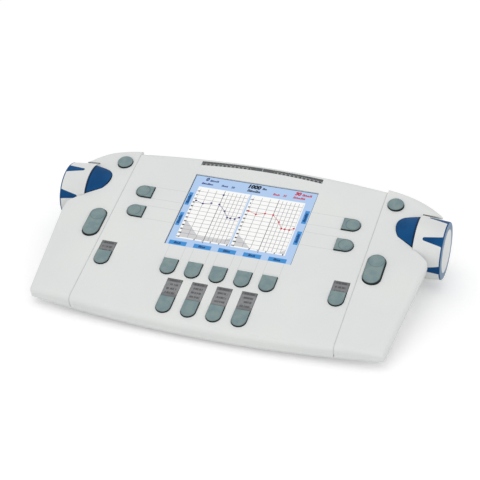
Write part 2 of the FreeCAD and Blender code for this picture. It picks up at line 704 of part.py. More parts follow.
# The grille fills its opening, with a lip under the skin and a row of slots on each
# side of a plain middle.
grille = new_body("speaker_grille_body")
pad(grille, "strip", [grille_outline("-grille_fit")], "-skin", "skin - 0.3")
pad(grille, "lip", [grille_outline("grille_lip")], "-skin - 1", "1")
slots = []
for side in SIDES:
    for i in range(12):
        x = f"{side} * (grille_half - grille_end - {i} * grille_pitch)"
        front = f"grille_front - grille_front_radius + sqrt(grille_front_radius^2 - ({x})^2)"
        rear = f"{front} + grille_rear - grille_front - grille_rim"
        slots.append(box(f"slot_{side + 1}_{i}",
                         [f"{x} - grille_slot / 2", f"{front} + grille_rim", "-skin - 2"],
                         [f"{x} + grille_slot / 2", rear, "1"]))
part(on_panel(cut("speaker_grille_cut", grille, group("slots", slots))), "speaker_grille")


def speaker_outline(inset_x, inset_y):
    """The oblong monitor speaker, less an inset at its ends and sides."""
    half = f"(speaker_half - {inset_x})"
    half_wide = f"(speaker_half_wide - {inset_y})"
    return rectangle(f"-speaker_x - {half}", f"speaker_y - {half_wide}",
                     f"-speaker_x + {half}", f"speaker_y + {half_wide}")


speaker = new_body("monitor_speaker_body")
pad(speaker, "basket", [speaker_outline("0", "0")], "-lip_depth", "speaker_basket")
pad(speaker, "magnet", [speaker_outline("11", "1")], "-lip_depth", "speaker_basket + 2.5")
pad(speaker, "cone_rim", [speaker_outline("1", "0.5")], "-lip_depth + speaker_basket",
    "lip_depth - skin - 1 - speaker_basket")
part(on_panel(speaker), "monitor_speaker")


# ---------------------------------------------------------------- wings
def wing_block(name, side, grow, skin_over, rounded):
    """A solid wing under the crown; the hollow inside it is a smaller one."""
    start = f"(groove_x + groove_gap / 2 + {grow})"
    body = new_body(name)
    base = pad(body, "slab", [wing_outline(side, start, grow)], "-lip_depth", "lip_depth")
    crown = f"(crown_radius - {skin_over})"
    far = "(side_x + 6)"
    falls = f"sqrt({crown}^2 - ({far} - groove_x)^2) - crown_radius"
    if rounded:
        at_corner = value("corner_x")
        base = fillet(body, "corner", base, "corner_round",
                      lambda edge: all(abs(abs(v.X) - at_corner) < 1e-3 for v in edge.Vertexes))
    top = pocket(body, "crown", [[
        (f"{side} * groove_x", f"-{skin_over}", "y", "-crown_radius", -side),
        (f"{side} * {far}", falls),
        (f"{side} * {far}", "6"),
        (f"{side} * groove_x", "6"),
    ]], "0", "300", "XZ_Plane")
    top.Midplane = True
    if not rounded:
        return body
    reach = value(crown)
    inner_x = value(start)

    def on_rim(edge):
        spots = [v.Point for v in edge.Vertexes]
        spots.append(edge.valueAt((edge.FirstParameter + edge.LastParameter) / 2))
        if all(abs(abs(spot.x) - inner_x) < 1e-3 for spot in spots):
            return False
        return all(
            abs(math.hypot(abs(spot.x) - value("groove_x"), spot.z + reach) - reach) < 1e-3
            for spot in spots
        )

    side_height = "lip_depth - crown_radius + sqrt(crown_radius^2 - (side_x - groove_x)^2)"
    fillet(body, "rolled_edges", top, f"min(edge_round; ({side_height}) * 0.97)", on_rim)
    return body


def oval(name, side, grow="0"):
    """The prism of a round key."""
    return rod(name, [f"{side} * round_x", "round_y", "-key_deep"], "z", f"round_rad + {grow}",
               "key_deep + 5")


lug_near = "(rocker_half + rocker_gap + lug_clear)"
for side in SIDES:
    hand = SIDE_NAMES[side]
    tag = hand + "_wing_"
    outer = wing_block(tag + "outer", side, "0", "0", True)
    hollow = wing_block(tag + "hollow", side, "wall", "skin", False)
    posts = [rod(f"{tag}post_{i}", [f"{side} * {x}", y, "-lip_depth - 1"], "z", "post_rad", "lip_depth + 2")
             for i, (x, y) in enumerate(WING_SCREWS)]
    pilots = [rod(f"{tag}pilot_{i}", [f"{side} * {x}", y, "-lip_depth - 1"], "z", "screw_rad + 0.05",
                  "lip_depth - skin - 3") for i, (x, y) in enumerate(WING_SCREWS)]
    lugs = []
    for lug_side in SIDES:
        near = f"{side} * rocker_x + {lug_side} * {lug_near}"
        far = f"{side} * rocker_x + {lug_side} * ({lug_near} + lug_thick)"
        ends = sorted([near, far], key=value)
        lugs.append(box(f"{tag}lug_{lug_side + 1}",
                        [ends[0], "-rocker_y - lug_half", "-rocker_pin_deep - lug_below"],
                        [ends[1], "-rocker_y + lug_half", "0"]))
    bore_half = f"({lug_near} + lug_thick + 0.4)"
    pin_bore = rod(tag + "pin_bore", [f"{side} * rocker_x - {bore_half}", "-rocker_y", "-rocker_pin_deep"],
                   "x", "rocker_pin + rocker_pin_fit", f"2 * {bore_half}")
    well_block = new_body(tag + "well_block")
    pad(well_block, "block", [level_outline(side, "(key_gap + level_wall)", "dial_y", "1")],
        "-level_well - level_wall", "level_well + level_wall + 6")
    well = new_body(tag + "well")
    pad(well, "well", [level_outline(side, "key_gap", "dial_y", "1")], "-level_well", "level_well + 6")
    plunger_hole = rod(tag + "plunger_hole", [f"{side} * level_plunger_x", "dial_y + 1.2", "-lip_depth"],
                       "z", "plunger_rad + 0.5", "lip_depth")
    slot = new_body(tag + "rocker_slot")
    pad(slot, "slot", [stadium(f"{side} * rocker_x", "-rocker_y", "rocker_half", "rocker_long",
                               "rocker_gap")], "-skin - 3", "skin + 6")
    inner = cut(tag + "inner", hollow, *dial_recess(tag + "inner_recess", side, "wall"),
                corner_roll(tag + "inner_roll", side, "skin"), *posts, *lugs, well_block)
    wing = cut(tag + "cover_cut", outer, *dial_recess(tag + "recess", side),
               corner_roll(tag + "roll", side), inner, well, plunger_hole, slot,
               oval(tag + "round_hole", side, "key_gap"), pin_bore, *pilots)
    part(on_panel(wing), tag + "cover")


# ---------------------------------------------------------------- display
glass_low = "screen_sink + glass_thick"
glass = new_body("lcd_panel_body")
half_glass = ["screen_width / 2 - glass_gap", "screen_tall / 2 - glass_gap"]
pad(glass, "glass", [rectangle(f"-({half_glass[0]})", f"-({half_glass[1]})", *half_glass)],
    f"-({glass_low})", "glass_thick")
part(on_panel(glass), "lcd_panel")

backlight = new_body("lcd_backlight_body")
rim_x, rim_y = "screen_width / 2 + backlight_rim", "screen_tall / 2 + backlight_rim"
pad(backlight, "tray", [rectangle(f"-({rim_x})", f"-({rim_y})", rim_x, rim_y)],
    f"-({glass_low}) - backlight_deep", "backlight_deep")
pad(backlight, "stand_offs", [("circle", f"{sx} * ({rim_x} - 6)", f"{sy} * ({rim_y} - 6)", "3")
                              for sx in SIDES for sy in SIDES],
    "-key_board_top", f"key_board_top - ({glass_low}) - backlight_deep + 0.5")
part(on_panel(backlight), "lcd_backlight")


# ---------------------------------------------------------------- keys
flange_top = "-skin - flange_gap"
plungers = []


def crown_fall(x):
    """How far the crown of a wing has fallen at x."""
    return f"(crown_radius - sqrt(crown_radius^2 - ({x} - groove_x)^2))"


def key_cap(name, outline, flange, spot, sink="0", proud="key_proud"):
    """A moulded key: a cap with a rounded top, a flange under the skin and a plunger.
    sink lowers the flange where the skin itself lies lower."""
    body = new_body(name + "_body")
    cap = pad(body, "cap", [outline], "-key_deep", f"key_deep + {proud}")
    fillet(body, "rounded_top", cap, "key_round", level_edge(proud))
    pad(body, "flange", [flange], f"{flange_top} - flange_thick - {sink}", "flange_thick")
    pad(body, "plunger", [("circle", *spot, "plunger_rad")], "-plunger_end", "plunger_end - key_deep + 1")
    plungers.append(spot)
    return part(on_panel(body), name)


def label_window(name, x, rear, split, half):
    """A label window, bonded by its flange to the underside of the skin."""
    body = new_body(name + "_body")
    pane = pad(body, "pane", [block(x, rear, split, half)], "-window_deep", "window_deep + window_proud")
    fillet(body, "rounded_top", pane, "0.25", level_edge("window_proud"))
    pad(body, "flange", [block(x, rear, split, half, "key_flange")], "-skin - flange_thick", "flange_thick")
    return part(on_panel(body), name)


def flanged_tongue(x, flat, tip, half):
    return tongue(x, flat, tip, half, "key_flange", "0")


for number, x in enumerate(SOFT, 1):
    key_cap(f"soft_key_{number}", tongue(x, "soft_rear", "soft_front", "soft_half"),
            tongue(x, "soft_rear", "soft_front", "soft_half", "key_flange"), (x, "-soft_rear - 8.4"))

for number, x in enumerate(SELECT, 1):
    label_window(f"select_window_{number}", x, "select_rear", "select_split", "select_half")
    flat = "(select_split + joint_gap)"
    key_cap(f"select_key_{number}", tongue(x, flat, "select_front", "select_half"),
            flanged_tongue(x, flat, "select_front", "select_half"), (x, "-select_split - 5"))

for side in SIDES:
    hand = SIDE_NAMES[side]
    x = f"{side} * mode_x"
    flat = "(mode_split + joint_gap)"
    label_window(f"{hand}_mode_window", x, "mode_rear", "mode_split", "mode_half")
    key_cap(f"{hand}_mode_key", tongue(x, flat, "mode_front", "mode_half"),
            flanged_tongue(x, flat, "mode_front", "mode_half"), (x, "-mode_split - 7.6"))
    for number, y in enumerate(SIDE_ROWS, 1):
        key_cap(f"{hand}_side_key_{number}", side_tongue(side, y), side_tongue(side, y, "key_flange"),
                (f"{side} * (side_key_in + 8)", y))
    centre = (f"{side} * round_x", "round_y")
    key_cap(f"{hand}_round_key", ("circle", *centre, "round_rad"),
            ("circle", *centre, "round_rad + round_flange"), (centre[0], "round_y - 1.4"),
            crown_fall("round_x + round_rad + round_flange"))

    # A rocker tips about a pin that turns in the wing's two lugs.
    rocker = new_body(f"{hand}_rocker_key_body")
    x, y = f"{side} * rocker_x", "-rocker_y"
    cap = pad(rocker, "cap", [stadium(x, y, "rocker_half", "rocker_long")],
              "-rocker_cap_deep", "rocker_cap_deep + key_proud")
    fillet(rocker, "rounded_top", cap, "key_round + 0.4", level_edge("key_proud"))
    ends = [f"{y} + {end} * rocker_throw" for end in SIDES]
    pad(rocker, "plungers", [("circle", x, end, "plunger_rad") for end in ends],
        "-plunger_end - 0.6", "plunger_end + 0.6 - rocker_cap_deep + 1")
    pad(rocker, "web", [rectangle(f"{x} - rocker_half + 1", f"{y} - 1.6", f"{x} + rocker_half - 1",
                                  f"{y} + 1.6")],
        "-rocker_pin_deep - 1", "rocker_pin_deep + 1 - rocker_cap_deep + 1")
    pin_half = f"({lug_near} + lug_thick)"
    pin = rod(f"{hand}_rocker_pin", [f"{x} - {pin_half}", y, "-rocker_pin_deep"], "x", "rocker_pin",
              f"2 * {pin_half}")
    part(on_panel(fuse(f"{hand}_rocker_key_fuse", rocker, pin)), f"{hand}_rocker_key")
    plungers.extend((x, end) for end in ends)


def on_dial_axis(item, phase="0"):
    """Place an object that is drawn about the dial's axis, turned by phase."""
    item.Placement = FreeCAD.Placement(
        FreeCAD.Vector(), FreeCAD.Rotation(FreeCAD.Vector(1, 0, 0), value(f"panel_tilt + {phase}"))
    )
    bind(item, Placement__Base__y="panel_y + dial_y * cos(panel_tilt) + dial_drop * sin(panel_tilt)",
         Placement__Base__z="panel_z + dial_y * sin(panel_tilt) - dial_drop * cos(panel_tilt)",
         Placement__Rotation__Angle=f"panel_tilt + {phase}")
    return item


for side in SIDES:
    # The level key's top follows the drum's own taper, so the two read as one form.
    hand = SIDE_NAMES[side]
    key = new_body(f"{hand}_level_key_body")
    block = pad(key, "cap", [level_outline(side)], "dial_drop - level_deep",
                "dial_in_rad - dial_drop + level_deep + 1")
    heel_x = value("level_in_x + level_heel_x")
    fillet(key, "rounded_heel", block, "level_heel_round",
           lambda edge: all(abs(abs(v.X) - heel_x) < 1e-3 for v in edge.Vertexes))
    inner_x, outer_x = "(level_in_x - 4)", "(dial_in_x + 2)"
    slope = "((dial_in_rad - level_cone) / (dial_in_x - level_in_x))"
    rings = [f"level_cone + ({x} - level_in_x) * {slope}" for x in (inner_x, outer_x)]
    revolve(key, "taper", [[
        (f"{side} * {inner_x}", rings[0]),
        (f"{side} * {outer_x}", rings[1]),
        (f"{side} * {outer_x}", "dial_in_rad + 12"),
        (f"{side} * {inner_x}", "dial_in_rad + 12"),
    ]], kind="Groove")
    doc.recompute()
    shaped = key.Tip

    def on_taper(edge):
        """Edges of the tapered top, without the straight side at the drum."""
        flat_x = value("dial_in_x - level_knob_gap")
        spots = [edge.valueAt(t) for t in (edge.FirstParameter, edge.LastParameter)]
        if all(abs(abs(spot.x) - flat_x) < 1e-3 for spot in spots):
            return False
        rings = [value("level_cone") + (abs(spot.x) - value("level_in_x")) * value(slope) for spot in spots]
        return all(abs(math.hypot(spot.y, spot.z) - ring) < 1e-2 for spot, ring in zip(spots, rings))

    fillet(key, "rounded_top", shaped, "key_round", on_taper)
    spot = (f"{side} * level_plunger_x", "1.2")
    pad(key, "plunger", [("circle", *spot, "plunger_rad")], "dial_drop - plunger_end",
        "plunger_end - level_deep + 1")
    plungers.append((spot[0], "dial_y + 1.2"))
    part(on_dial_axis(key), f"{hand}_stimulus_key")


# ---------------------------------------------------------------- dials
def drum_rad(x, inside="0"):
    """Radius of the drum's outer surface at x, or of a surface inside it."""
    fall = "(dial_in_rad - dial_out_rad) / (dial_out_x - dial_in_x)"
    return f"dial_in_rad - {inside} - (({x}) - dial_in_x) * {fall}"


def drum_form(name, side, inside, face):
    """A solid drum about the X axis with a rounded outer edge; face is its flat end."""
    body = new_body(name)
    turned = revolve(body, "form", [[
        (f"{side} * dial_in_x", "0"),
        (f"{side} * ({face})", "0"),
        (f"{side} * ({face})", drum_rad(face, inside)),
        (f"{side} * dial_in_x", drum_rad("dial_in_x", inside)),
    ]])
    rim = value(face)
    fillet(body, "rounded_rim", turned, "dial_edge",
           lambda edge: abs(abs(edge.CenterOfMass.x) - rim) < 1e-3 and edge.Closed)
    return body


for side in SIDES:
    hand = SIDE_NAMES[side]
    phase = f"{hand}_phase"
    envelope = drum_form(hand + "_drum_form", side, "0", "dial_out_x")
    core = drum_form(hand + "_drum_core", side, "grip_depth", "dial_out_x - grip_depth")

    # The soft grip: a ring round the outer edge and six fingers, let into the drum.
    fingers = new_body(hand + "_grip_fingers")
    rim_x = f"{side} * (dial_out_x + 1)"
    shoulder = f"{side} * (dial_out_x - grip_ring - grip_shoulder)"
    tip = f"{side} * (dial_in_x + grip_tip + grip_tip_half)"
    finger = pad(fingers, "finger", [[
        (tip, "-grip_tip_half", "x", tip, -side),
        (tip, "grip_tip_half"),
        (shoulder, "grip_rim_half"),
        (rim_x, "grip_rim_half + grip_flare"),
        (rim_x, "-grip_rim_half - grip_flare"),
        (shoulder, "-grip_rim_half"),
    ]], "cap_rad", "20")
    pattern = fingers.newObject("PartDesign::PolarPattern", "six_fingers")
    pattern.Originals = [finger]
    pattern.Axis = (origin_plane(fingers, "X_Axis"), [""])
    pattern.Angle = 360
    pattern.Occurrences = 6
    fingers.Tip = pattern
    ring = new_body(hand + "_grip_ring")
    revolve(ring, "ring", [[
        (f"{side} * (dial_out_x - grip_ring)", "cap_rad"),
        (rim_x, "cap_rad"),
        (rim_x, "dial_in_rad + 2"),
        (f"{side} * (dial_out_x - grip_ring)", "dial_in_rad + 2"),
    ]])
    skin_form = cut(hand + "_grip_skin", envelope, core)
    grip = common(hand + "_grip_common", skin_form, fuse(hand + "_grip_tool", fingers, ring))
    part(on_dial_axis(group(hand + "_grip_group", [grip]), phase), f"{hand}_dial_grip")

    inside = new_body(hand + "_drum_inside")
    inner_face = "dial_out_x - cap_deep - dial_wall"
    revolve(inside, "cup", [[
        (f"{side} * (dial_in_x - 1)", "hub_rad"),
        (f"{side} * ({inner_face})", "hub_rad"),
        (f"{side} * ({inner_face})", drum_rad(inner_face, "(grip_depth + dial_wall)")),
        (f"{side} * (dial_in_x - 1)", drum_rad("dial_in_x - 1", "(grip_depth + dial_wall)")),
    ]])
    cap_seat = span_rod(hand + "_cap_seat", side, "dial_out_x - cap_deep", "dial_out_x + 1",
                        ["0", "0"], "cap_rad")
    hub_bore = span_rod(hand + "_hub_bore", side, "dial_in_x - 1", "dial_out_x - cap_deep - 0.8",
                        ["0", "0"], "shaft_rad")
    drum = cut(hand + "_drum_cut", envelope, grip, inside, cap_seat, hub_bore)
    part(on_dial_axis(drum, phase), f"{hand}_dial_drum")

    cap = new_body(hand + "_cap_body")
    face_x = f"{side} * dial_out_x"
    revolve(cap, "cap", [[
        (f"{side} * (dial_out_x - cap_deep)", "0"),
        (f"{side} * (dial_out_x + 0.5)", "0"),
        (f"{side} * (dial_out_x + 0.5)", "2"),
        (face_x, "cap_rad - cap_fit"),
        (f"{side} * (dial_out_x - cap_deep)", "cap_rad - cap_fit"),
    ]])
    part(on_dial_axis(cap, phase), f"{hand}_dial_cap")

    shaft = span_rod(hand + "_dial_shaft_rod", side, "encoder_x + 2", "dial_out_x - cap_deep - 0.8",
                     ["0", "0"], "shaft_rad")
    part(on_dial_axis(group(hand + "_dial_shaft_group", [shaft]), phase), f"{hand}_dial_shaft")

    # The encoder's threaded bush passes through the end wall of the shell's collar.
    low_x, high_x = sorted([f"{side} * encoder_x", f"{side} * collar_end_x"], key=value)
    case = box(hand + "_encoder_case", [low_x, "-encoder_half", "-encoder_half"],
               [high_x, "encoder_half", "encoder_half"])
    bush = span_rod(hand + "_encoder_bush", side, "collar_end_x - 1", "collar_end_x + collar_wall + 0.4",
                    ["0", "0"], "encoder_bush")
    bore = span_rod(hand + "_encoder_bore", side, "encoder_x + 1.5", "dial_out_x", ["0", "0"],
                    "shaft_rad + shaft_fit")
    encoder = cut(hand + "_encoder_cut", fuse(hand + "_encoder_fuse", case, bush), bore)
    part(on_dial_axis(encoder), f"{hand}_dial_encoder")


# ---------------------------------------------------------------- bottom shell
def round_box(x0, y0, x1, y1, corner):
    """A rectangle with rounded corners, in world axes."""
    return [
        (f"{x0} + {corner}", y0),
        (f"{x1} - {corner}", y0, "y", f"{y0} + {corner}", 1),
        (x1, f"{y0} + {corner}"),
        (x1, f"{y1} - {corner}", "x", f"{x1} - {corner}", 1),
        (f"{x1} - {corner}", y1),
        (f"{x0} + {corner}", y1, "y", f"{y1} - {corner}", 1),
        (x0, f"{y1} - {corner}"),
        (x0, f"{y0} + {corner}", "x", f"{x0} + {corner}", 1),
    ]


flange = []
centre_plate = new_body("flange_centre")
flange_low = "-lip_depth - tray_thick"
pad(centre_plate, "plate", [centre_outline("(groove_x - 0.1)", "tray_inset")], flange_low, "tray_thick")
flange.append(centre_plate)
for side in SIDES:
    hand = SIDE_NAMES[side]
    plate = new_body(hand + "_flange_plate")
    pad(plate, "plate", [wing_outline(side, "(groove_x - 3)", "tray_inset")], flange_low, "tray_thick")
    flange.append(cut(hand + "_flange", plate, *dial_recess(hand + "_flange_recess", side, "tray_inset"),
                      corner_roll(hand + "_flange_roll", side, "tray_inset")))
tray = on_panel(fuse("flange_all", *flange))

tub = new_body("tub_outer")
pad(tub, "tub", [round_box("-tub_half", "tub_front", "tub_half", "tub_rear", "tub_round")],
    "foot_high", "90")
above = on_panel(group("above_panel", [
    box("above_panel_box", ["-200", "-200", "-lip_depth"], ["200", "200", "100"])
]))
tub_low = cut("tub_under_covers", tub, above)

collars = []
for side in SIDES:
    hand = SIDE_NAMES[side]
    collars.append(span_rod(hand + "_collar", side, "tub_half - 1", "collar_end_x + collar_wall",
                            ["0", "0"], "collar_rad"))
collar_set = cut("collars_under_covers", on_dial_axis(group("collars", collars)), above)

inside = new_body("tub_inside")
pad(inside, "inside", [round_box("(-tub_half + wall)", "(tub_front + wall)", "(tub_half - wall)",
                                 "(tub_rear - wall)", "(tub_round - wall)")],
    "foot_high + floor_thick", "90")
collar_holes = on_dial_axis(group("collar_holes", [
    span_rod(f"{SIDE_NAMES[side]}_collar_hole", side, "tub_half - 8", "collar_end_x", ["0", "0"],
             "collar_rad - collar_wall") for side in SIDES
] + [
    span_rod(f"{SIDE_NAMES[side]}_bush_hole", side, "tub_half", "collar_end_x + collar_wall + 2",
             ["0", "0"], "encoder_bush + 0.1") for side in SIDES
]))
collar_holes_low = cut("collar_holes_under_flange", collar_holes, on_panel(group("above_flange", [
    box("above_flange_box", ["-200", "-200", flange_low], ["200", "200", "100"])
])))
screw_spots = COVER_SCREWS + [(f"{side} * {x}", y) for x, y in WING_SCREWS for side in SIDES]
screw_holes = on_panel(group("flange_screw_holes", [
    rod(f"flange_hole_{i}", [x, y, "-lip_depth - tray_thick - 1"], "z", "screw_rad + 0.2", "tray_thick + 2")
    for i, (x, y) in enumerate(screw_spots)
]))
foot_spots = [(f"{side} * foot_x", y) for side in SIDES for y in ("foot_front", "foot_rear")]
foot_seats = group("foot_seats", [
    rod(f"foot_seat_{i}", [x, y, "foot_high - 1"], "z", "foot_rad", "1 + foot_sink")
    for i, (x, y) in enumerate(foot_spots)
])
opening = ["socket_half - socket_lap", "socket_low + socket_lap", "socket_low + socket_tall - socket_lap"]
socket_opening = box("socket_opening", [f"-({opening[0]})", "tub_rear - wall - 1", opening[1]],
                     [opening[0], "tub_rear + 1", opening[2]])
plate_screws = [(f"{side} * (socket_half - 2.8)", z) for side in SIDES
                for z in ("socket_low + 3", "socket_low + socket_tall - 3")]
plate_holes = group("plate_screw_holes", [
    rod(f"plate_hole_{i}", [x, "tub_rear - wall - 1", z], "y", "plate_screw_rad + 0.1", "wall + 2")
    for i, (x, z) in enumerate(plate_screws)
])
board_spots = [(f"{sx} * (main_board_half - 6)", y) for sx in SIDES
               for y in ("main_board_front + 6", "main_board_rear - 6")]
board_pillars = group("main_board_pillars", [
    rod(f"pillar_{i}", [x, y, "foot_high + floor_thick - 0.5"], "z", "3.5",
        "main_board_z - foot_high - floor_thick + 0.5") for i, (x, y) in enumerate(board_spots)
])
shell = cut("bottom_shell_cut", fuse("bottom_shell_fuse", tray, tub_low, collar_set), inside,
            collar_holes_low, screw_holes, foot_seats, socket_opening, plate_holes)
part(fuse("bottom_shell_all", shell, board_pillars), "bottom_shell")

feet = []
for i, (x, y) in enumerate(foot_spots):
    foot = rod(f"foot_{i}", [x, y, "0"], "z", "foot_rad - 0.1", "foot_high + foot_sink")
    dimple = rod(f"foot_dimple_{i}", [x, y, "-1"], "z", "foot_rad - 3", "1.6")
    feet.append(cut(f"foot_cut_{i}", foot, dimple))
part(group("rubber_feet_group", feet), "rubber_feet")


# ---------------------------------------------------------------- boards
def hexed_screw(name, spot, axis, shank, head, head_tall, length, toward=1):
    """A cap screw whose head starts at spot and lies behind it; length is its shank.
    toward is the sense of the shank along the axis."""
    along = {"x": 0, "y": 1, "z": 2}[axis]

    def shifted(offset):
        moved = list(spot)
        moved[along] = f"{spot[along]} + ({offset})"
        return moved

    if toward > 0:
        stem = rod(name + "_stem", shifted("-0.3"), axis, shank, f"{length} + 0.3")
        cap = rod(name + "_head", shifted(f"-({head_tall})"), axis, head, head_tall)
        socket = rod(name + "_socket", shifted(f"-({head_tall}) - 1"), axis, f"{head} * 0.45",
                     f"1 + 0.6 * {head_tall}")
    else:
        stem = rod(name + "_stem", shifted(f"-({length})"), axis, shank, f"{length} + 0.3")
        cap = rod(name + "_head", spot, axis, head, head_tall)
        socket = rod(name + "_socket", shifted(f"0.4 * {head_tall}"), axis, f"{head} * 0.45",
                     f"1 + 0.6 * {head_tall}")
    return cut(name, fuse(name + "_fuse", stem, cap), socket)


key_board = new_body("key_board_body")
board_low = "-key_board_top - board_thick"
pad(key_board, "board", [round_box("-key_board_half", "-key_board_front", "key_board_half",
                                   "key_board_rear", "tub_round")], board_low, "board_thick")
pocket(key_board, "screw_holes", [("circle", x, y, "screw_rad + 0.2") for x, y in BOARD_POSTS],
       board_low, "board_thick")
pad(key_board, "connector", [rectangle("-15", "-4", "15", "4")], f"{board_low} - 5", "5.2")
part(on_panel(key_board), "key_board")

switch_set = []
for number, (x, y) in enumerate(plungers, 1):
    case = box(f"switch_case_{number}",
               [f"{x} - switch_side / 2", f"{y} - switch_side / 2", "-key_board_top"],
               [f"{x} + switch_side / 2", f"{y} + switch_side / 2", "-key_board_top + 0.7 * switch_high"])
    button = rod(f"switch_button_{number}", [x, y, "-key_board_top"], "z", "switch_side * 0.28",
                 "switch_high")
    switch_set.append(fuse(f"switch_{number}", case, button))
part(on_panel(group("key_switch_group", switch_set)), "key_switches")

main_board = box("main_board_plate", ["-main_board_half", "main_board_front", "main_board_z"],
                 ["main_board_half", "main_board_rear", "main_board_z + board_thick"])
board_top = "main_board_z + board_thick"
# Chips on the main board: centre x, front y, half width, depth, height.
CHIPS = [("-62", "12", "14", "14", "2.2"), ("-22", "16", "20", "20", "2.6"),
         ("22", "10", "10", "16", "2"), ("58", "18", "16", "12", "9")]
chips = []
for i, (x, y, wide, deep, tall) in enumerate(CHIPS):
    chips.append(box(f"chip_{i}", [f"{x} - {wide}", y, f"{board_top} - 0.2"],
                     [f"{x} + {wide}", f"{y} + {deep}", f"{board_top} + {tall}"]))
board_holes = [rod(f"main_board_hole_{i}", [x, y, "main_board_z - 1"], "z", "screw_rad + 0.2",
                   "board_thick + 2") for i, (x, y) in enumerate(board_spots)]
part(cut("main_board_cut", fuse("main_board_fuse", main_board, *chips), *board_holes), "main_board")


# ---------------------------------------------------------------- rear sockets
plate_rear = "tub_rear - wall"
plate_front = f"{plate_rear} - socket_thick"
row_z = "socket_low + socket_tall / 2"
large_x = [f"(jack_first + {i} * jack_pitch)" for i in range(6)]
small_x = [f"(small_first + {i} * small_pitch)" for i in range(3)]
plate = box("socket_plate", ["-socket_half", plate_front, "socket_low"],
            ["socket_half", plate_rear, "socket_low + socket_tall"])


def plate_window(name, x, half_wide, half_tall):
    """A rectangular hole through the socket plate."""
    return box(name, [f"{x} - ({half_wide})", f"{plate_front} - 1", f"{row_z} - ({half_tall})"],
               [f"{x} + {half_wide}", f"{plate_rear} + 1", f"{row_z} + {half_tall}"])


def plate_hole(name, x, z, radius):
    """A round hole through the socket plate."""
    return rod(name, [x, f"{plate_front} - 1", z], "y", radius, "socket_thick + 2")


holes = [plate_hole(f"large_hole_{i}", x, row_z, "jack_bush + 0.1") for i, x in enumerate(large_x)]
holes += [plate_hole(f"small_hole_{i}", x, row_z, "small_bush + 0.1") for i, x in enumerate(small_x)]
holes += [plate_window("usb_hole", "usb_x", "usb_half + 0.1", "usb_half_tall + 0.1"),
          plate_window("inlet_hole", "inlet_x", "inlet_half + 0.1", "inlet_half + 0.1"),
          plate_window("power_hole", "power_x", "power_half + 0.1", "power_half_tall + 0.1")]
holes += [plate_hole(f"plate_screw_seat_{i}", x, z, "plate_screw_rad + 0.05")
          for i, (x, z) in enumerate(plate_screws)]
part(cut("socket_panel_cut", plate, *holes), "socket_panel")

connector_board = box("connector_board_plate", ["-socket_half + 4", "connector_y", "socket_low + 0.5"],
                      ["socket_half - 4", "connector_y + board_thick", "socket_low + socket_tall - 0.5"])
part(group("connector_board_group", [connector_board]), "connector_board")
jack_front = "connector_y + board_thick"


def jack(name, x, half, bush, bore, deep):
    """A jack socket: a case on the connector board and a bush through the plate."""
    case = box(name + "_case", [f"{x} - {half}", jack_front, f"{row_z} - {half}"],
               [f"{x} + {half}", plate_front, f"{row_z} + {half}"])
    collar = rod(name + "_bush", [x, f"{plate_front} - 1", row_z], "y", bush, "1 + socket_thick + jack_stand")
    hole = rod(name + "_bore", [x, f"{plate_rear} + jack_stand - {deep}", row_z], "y", bore, f"{deep} + 1")
    return cut(name, fuse(name + "_body", case, collar), hole)


part(group("large_jack_group", [jack(f"large_jack_{i}", x, "jack_case", "jack_bush", "jack_bore", "jack_deep")
                                for i, x in enumerate(large_x)]), "large_jacks")
part(group("small_jack_group", [jack(f"small_jack_{i}", x, "small_case", "small_bush", "small_bore",
                                     "small_deep")
                                for i, x in enumerate(small_x)]), "small_jacks")


def socket_case(name, x, half_wide, half_tall):
    """A rectangular case from the connector board to a little past the plate."""
    return box(name, [f"{x} - {half_wide}", jack_front, f"{row_z} - {half_tall}"],
               [f"{x} + {half_wide}", f"{plate_rear} + socket_stand", f"{row_z} + {half_tall}"])


usb_case = socket_case("usb_case", "usb_x", "usb_half", "usb_half_tall")
mouth_half, mouth_tall = "(usb_half - socket_shell)", "(usb_half_tall - socket_shell)"
usb_floor = f"{plate_rear} + socket_stand - usb_deep"
usb_mouth = box("usb_mouth", [f"usb_x - {mouth_half}", usb_floor, f"{row_z} - {mouth_tall}"],
                [f"usb_x + {mouth_half}", f"{plate_rear} + 2", f"{row_z} + {mouth_tall}"])
usb_tongue = box("usb_tongue", ["usb_x - 2.8", f"{usb_floor} - 1", f"{row_z} + {mouth_tall} - 2.4"],
                 ["usb_x + 2.8", f"{plate_rear} - socket_shell", f"{row_z} + {mouth_tall}"])
part(fuse("usb_socket_fuse", cut("usb_shell", usb_case, usb_mouth), usb_tongue), "usb_socket")

inlet_case = socket_case("inlet_case", "inlet_x", "inlet_half", "inlet_half")
inlet_floor = f"{plate_rear} + socket_stand - inlet_deep"
inlet_bore = rod("inlet_bore", ["inlet_x", inlet_floor, row_z], "y", "inlet_bore_rad", "inlet_deep + 2")
inlet_pin = rod("inlet_pin", ["inlet_x", f"{inlet_floor} - 1", row_z], "y", "inlet_pin_rad", "inlet_deep")
part(fuse("power_inlet_fuse", cut("inlet_shell", inlet_case, inlet_bore), inlet_pin), "power_inlet")

power_case = box("power_case",
                 ["power_x - power_half", f"{plate_rear} - power_deep", f"{row_z} - power_half_tall"],
                 ["power_x + power_half", f"{plate_rear} + 1.2", f"{row_z} + power_half_tall"])
well_half, well_tall = "power_half - power_wall", "power_half_tall - power_wall"
power_well = box("power_well",
                 [f"power_x - ({well_half})", f"{plate_rear} - power_well_deep", f"{row_z} - ({well_tall})"],
                 [f"power_x + {well_half}", f"{plate_rear} + 3", f"{row_z} + {well_tall}"])
power_pivot = f"{plate_rear} - 2.5"
power_hole = rod("power_pin_hole", [f"power_x - ({well_half}) - 0.6", power_pivot, row_z], "x",
                 "power_pin + 0.05", f"2 * ({well_half}) + 1.2")
part(cut("power_switch_cut", power_case, power_well, power_hole), "power_switch_body")

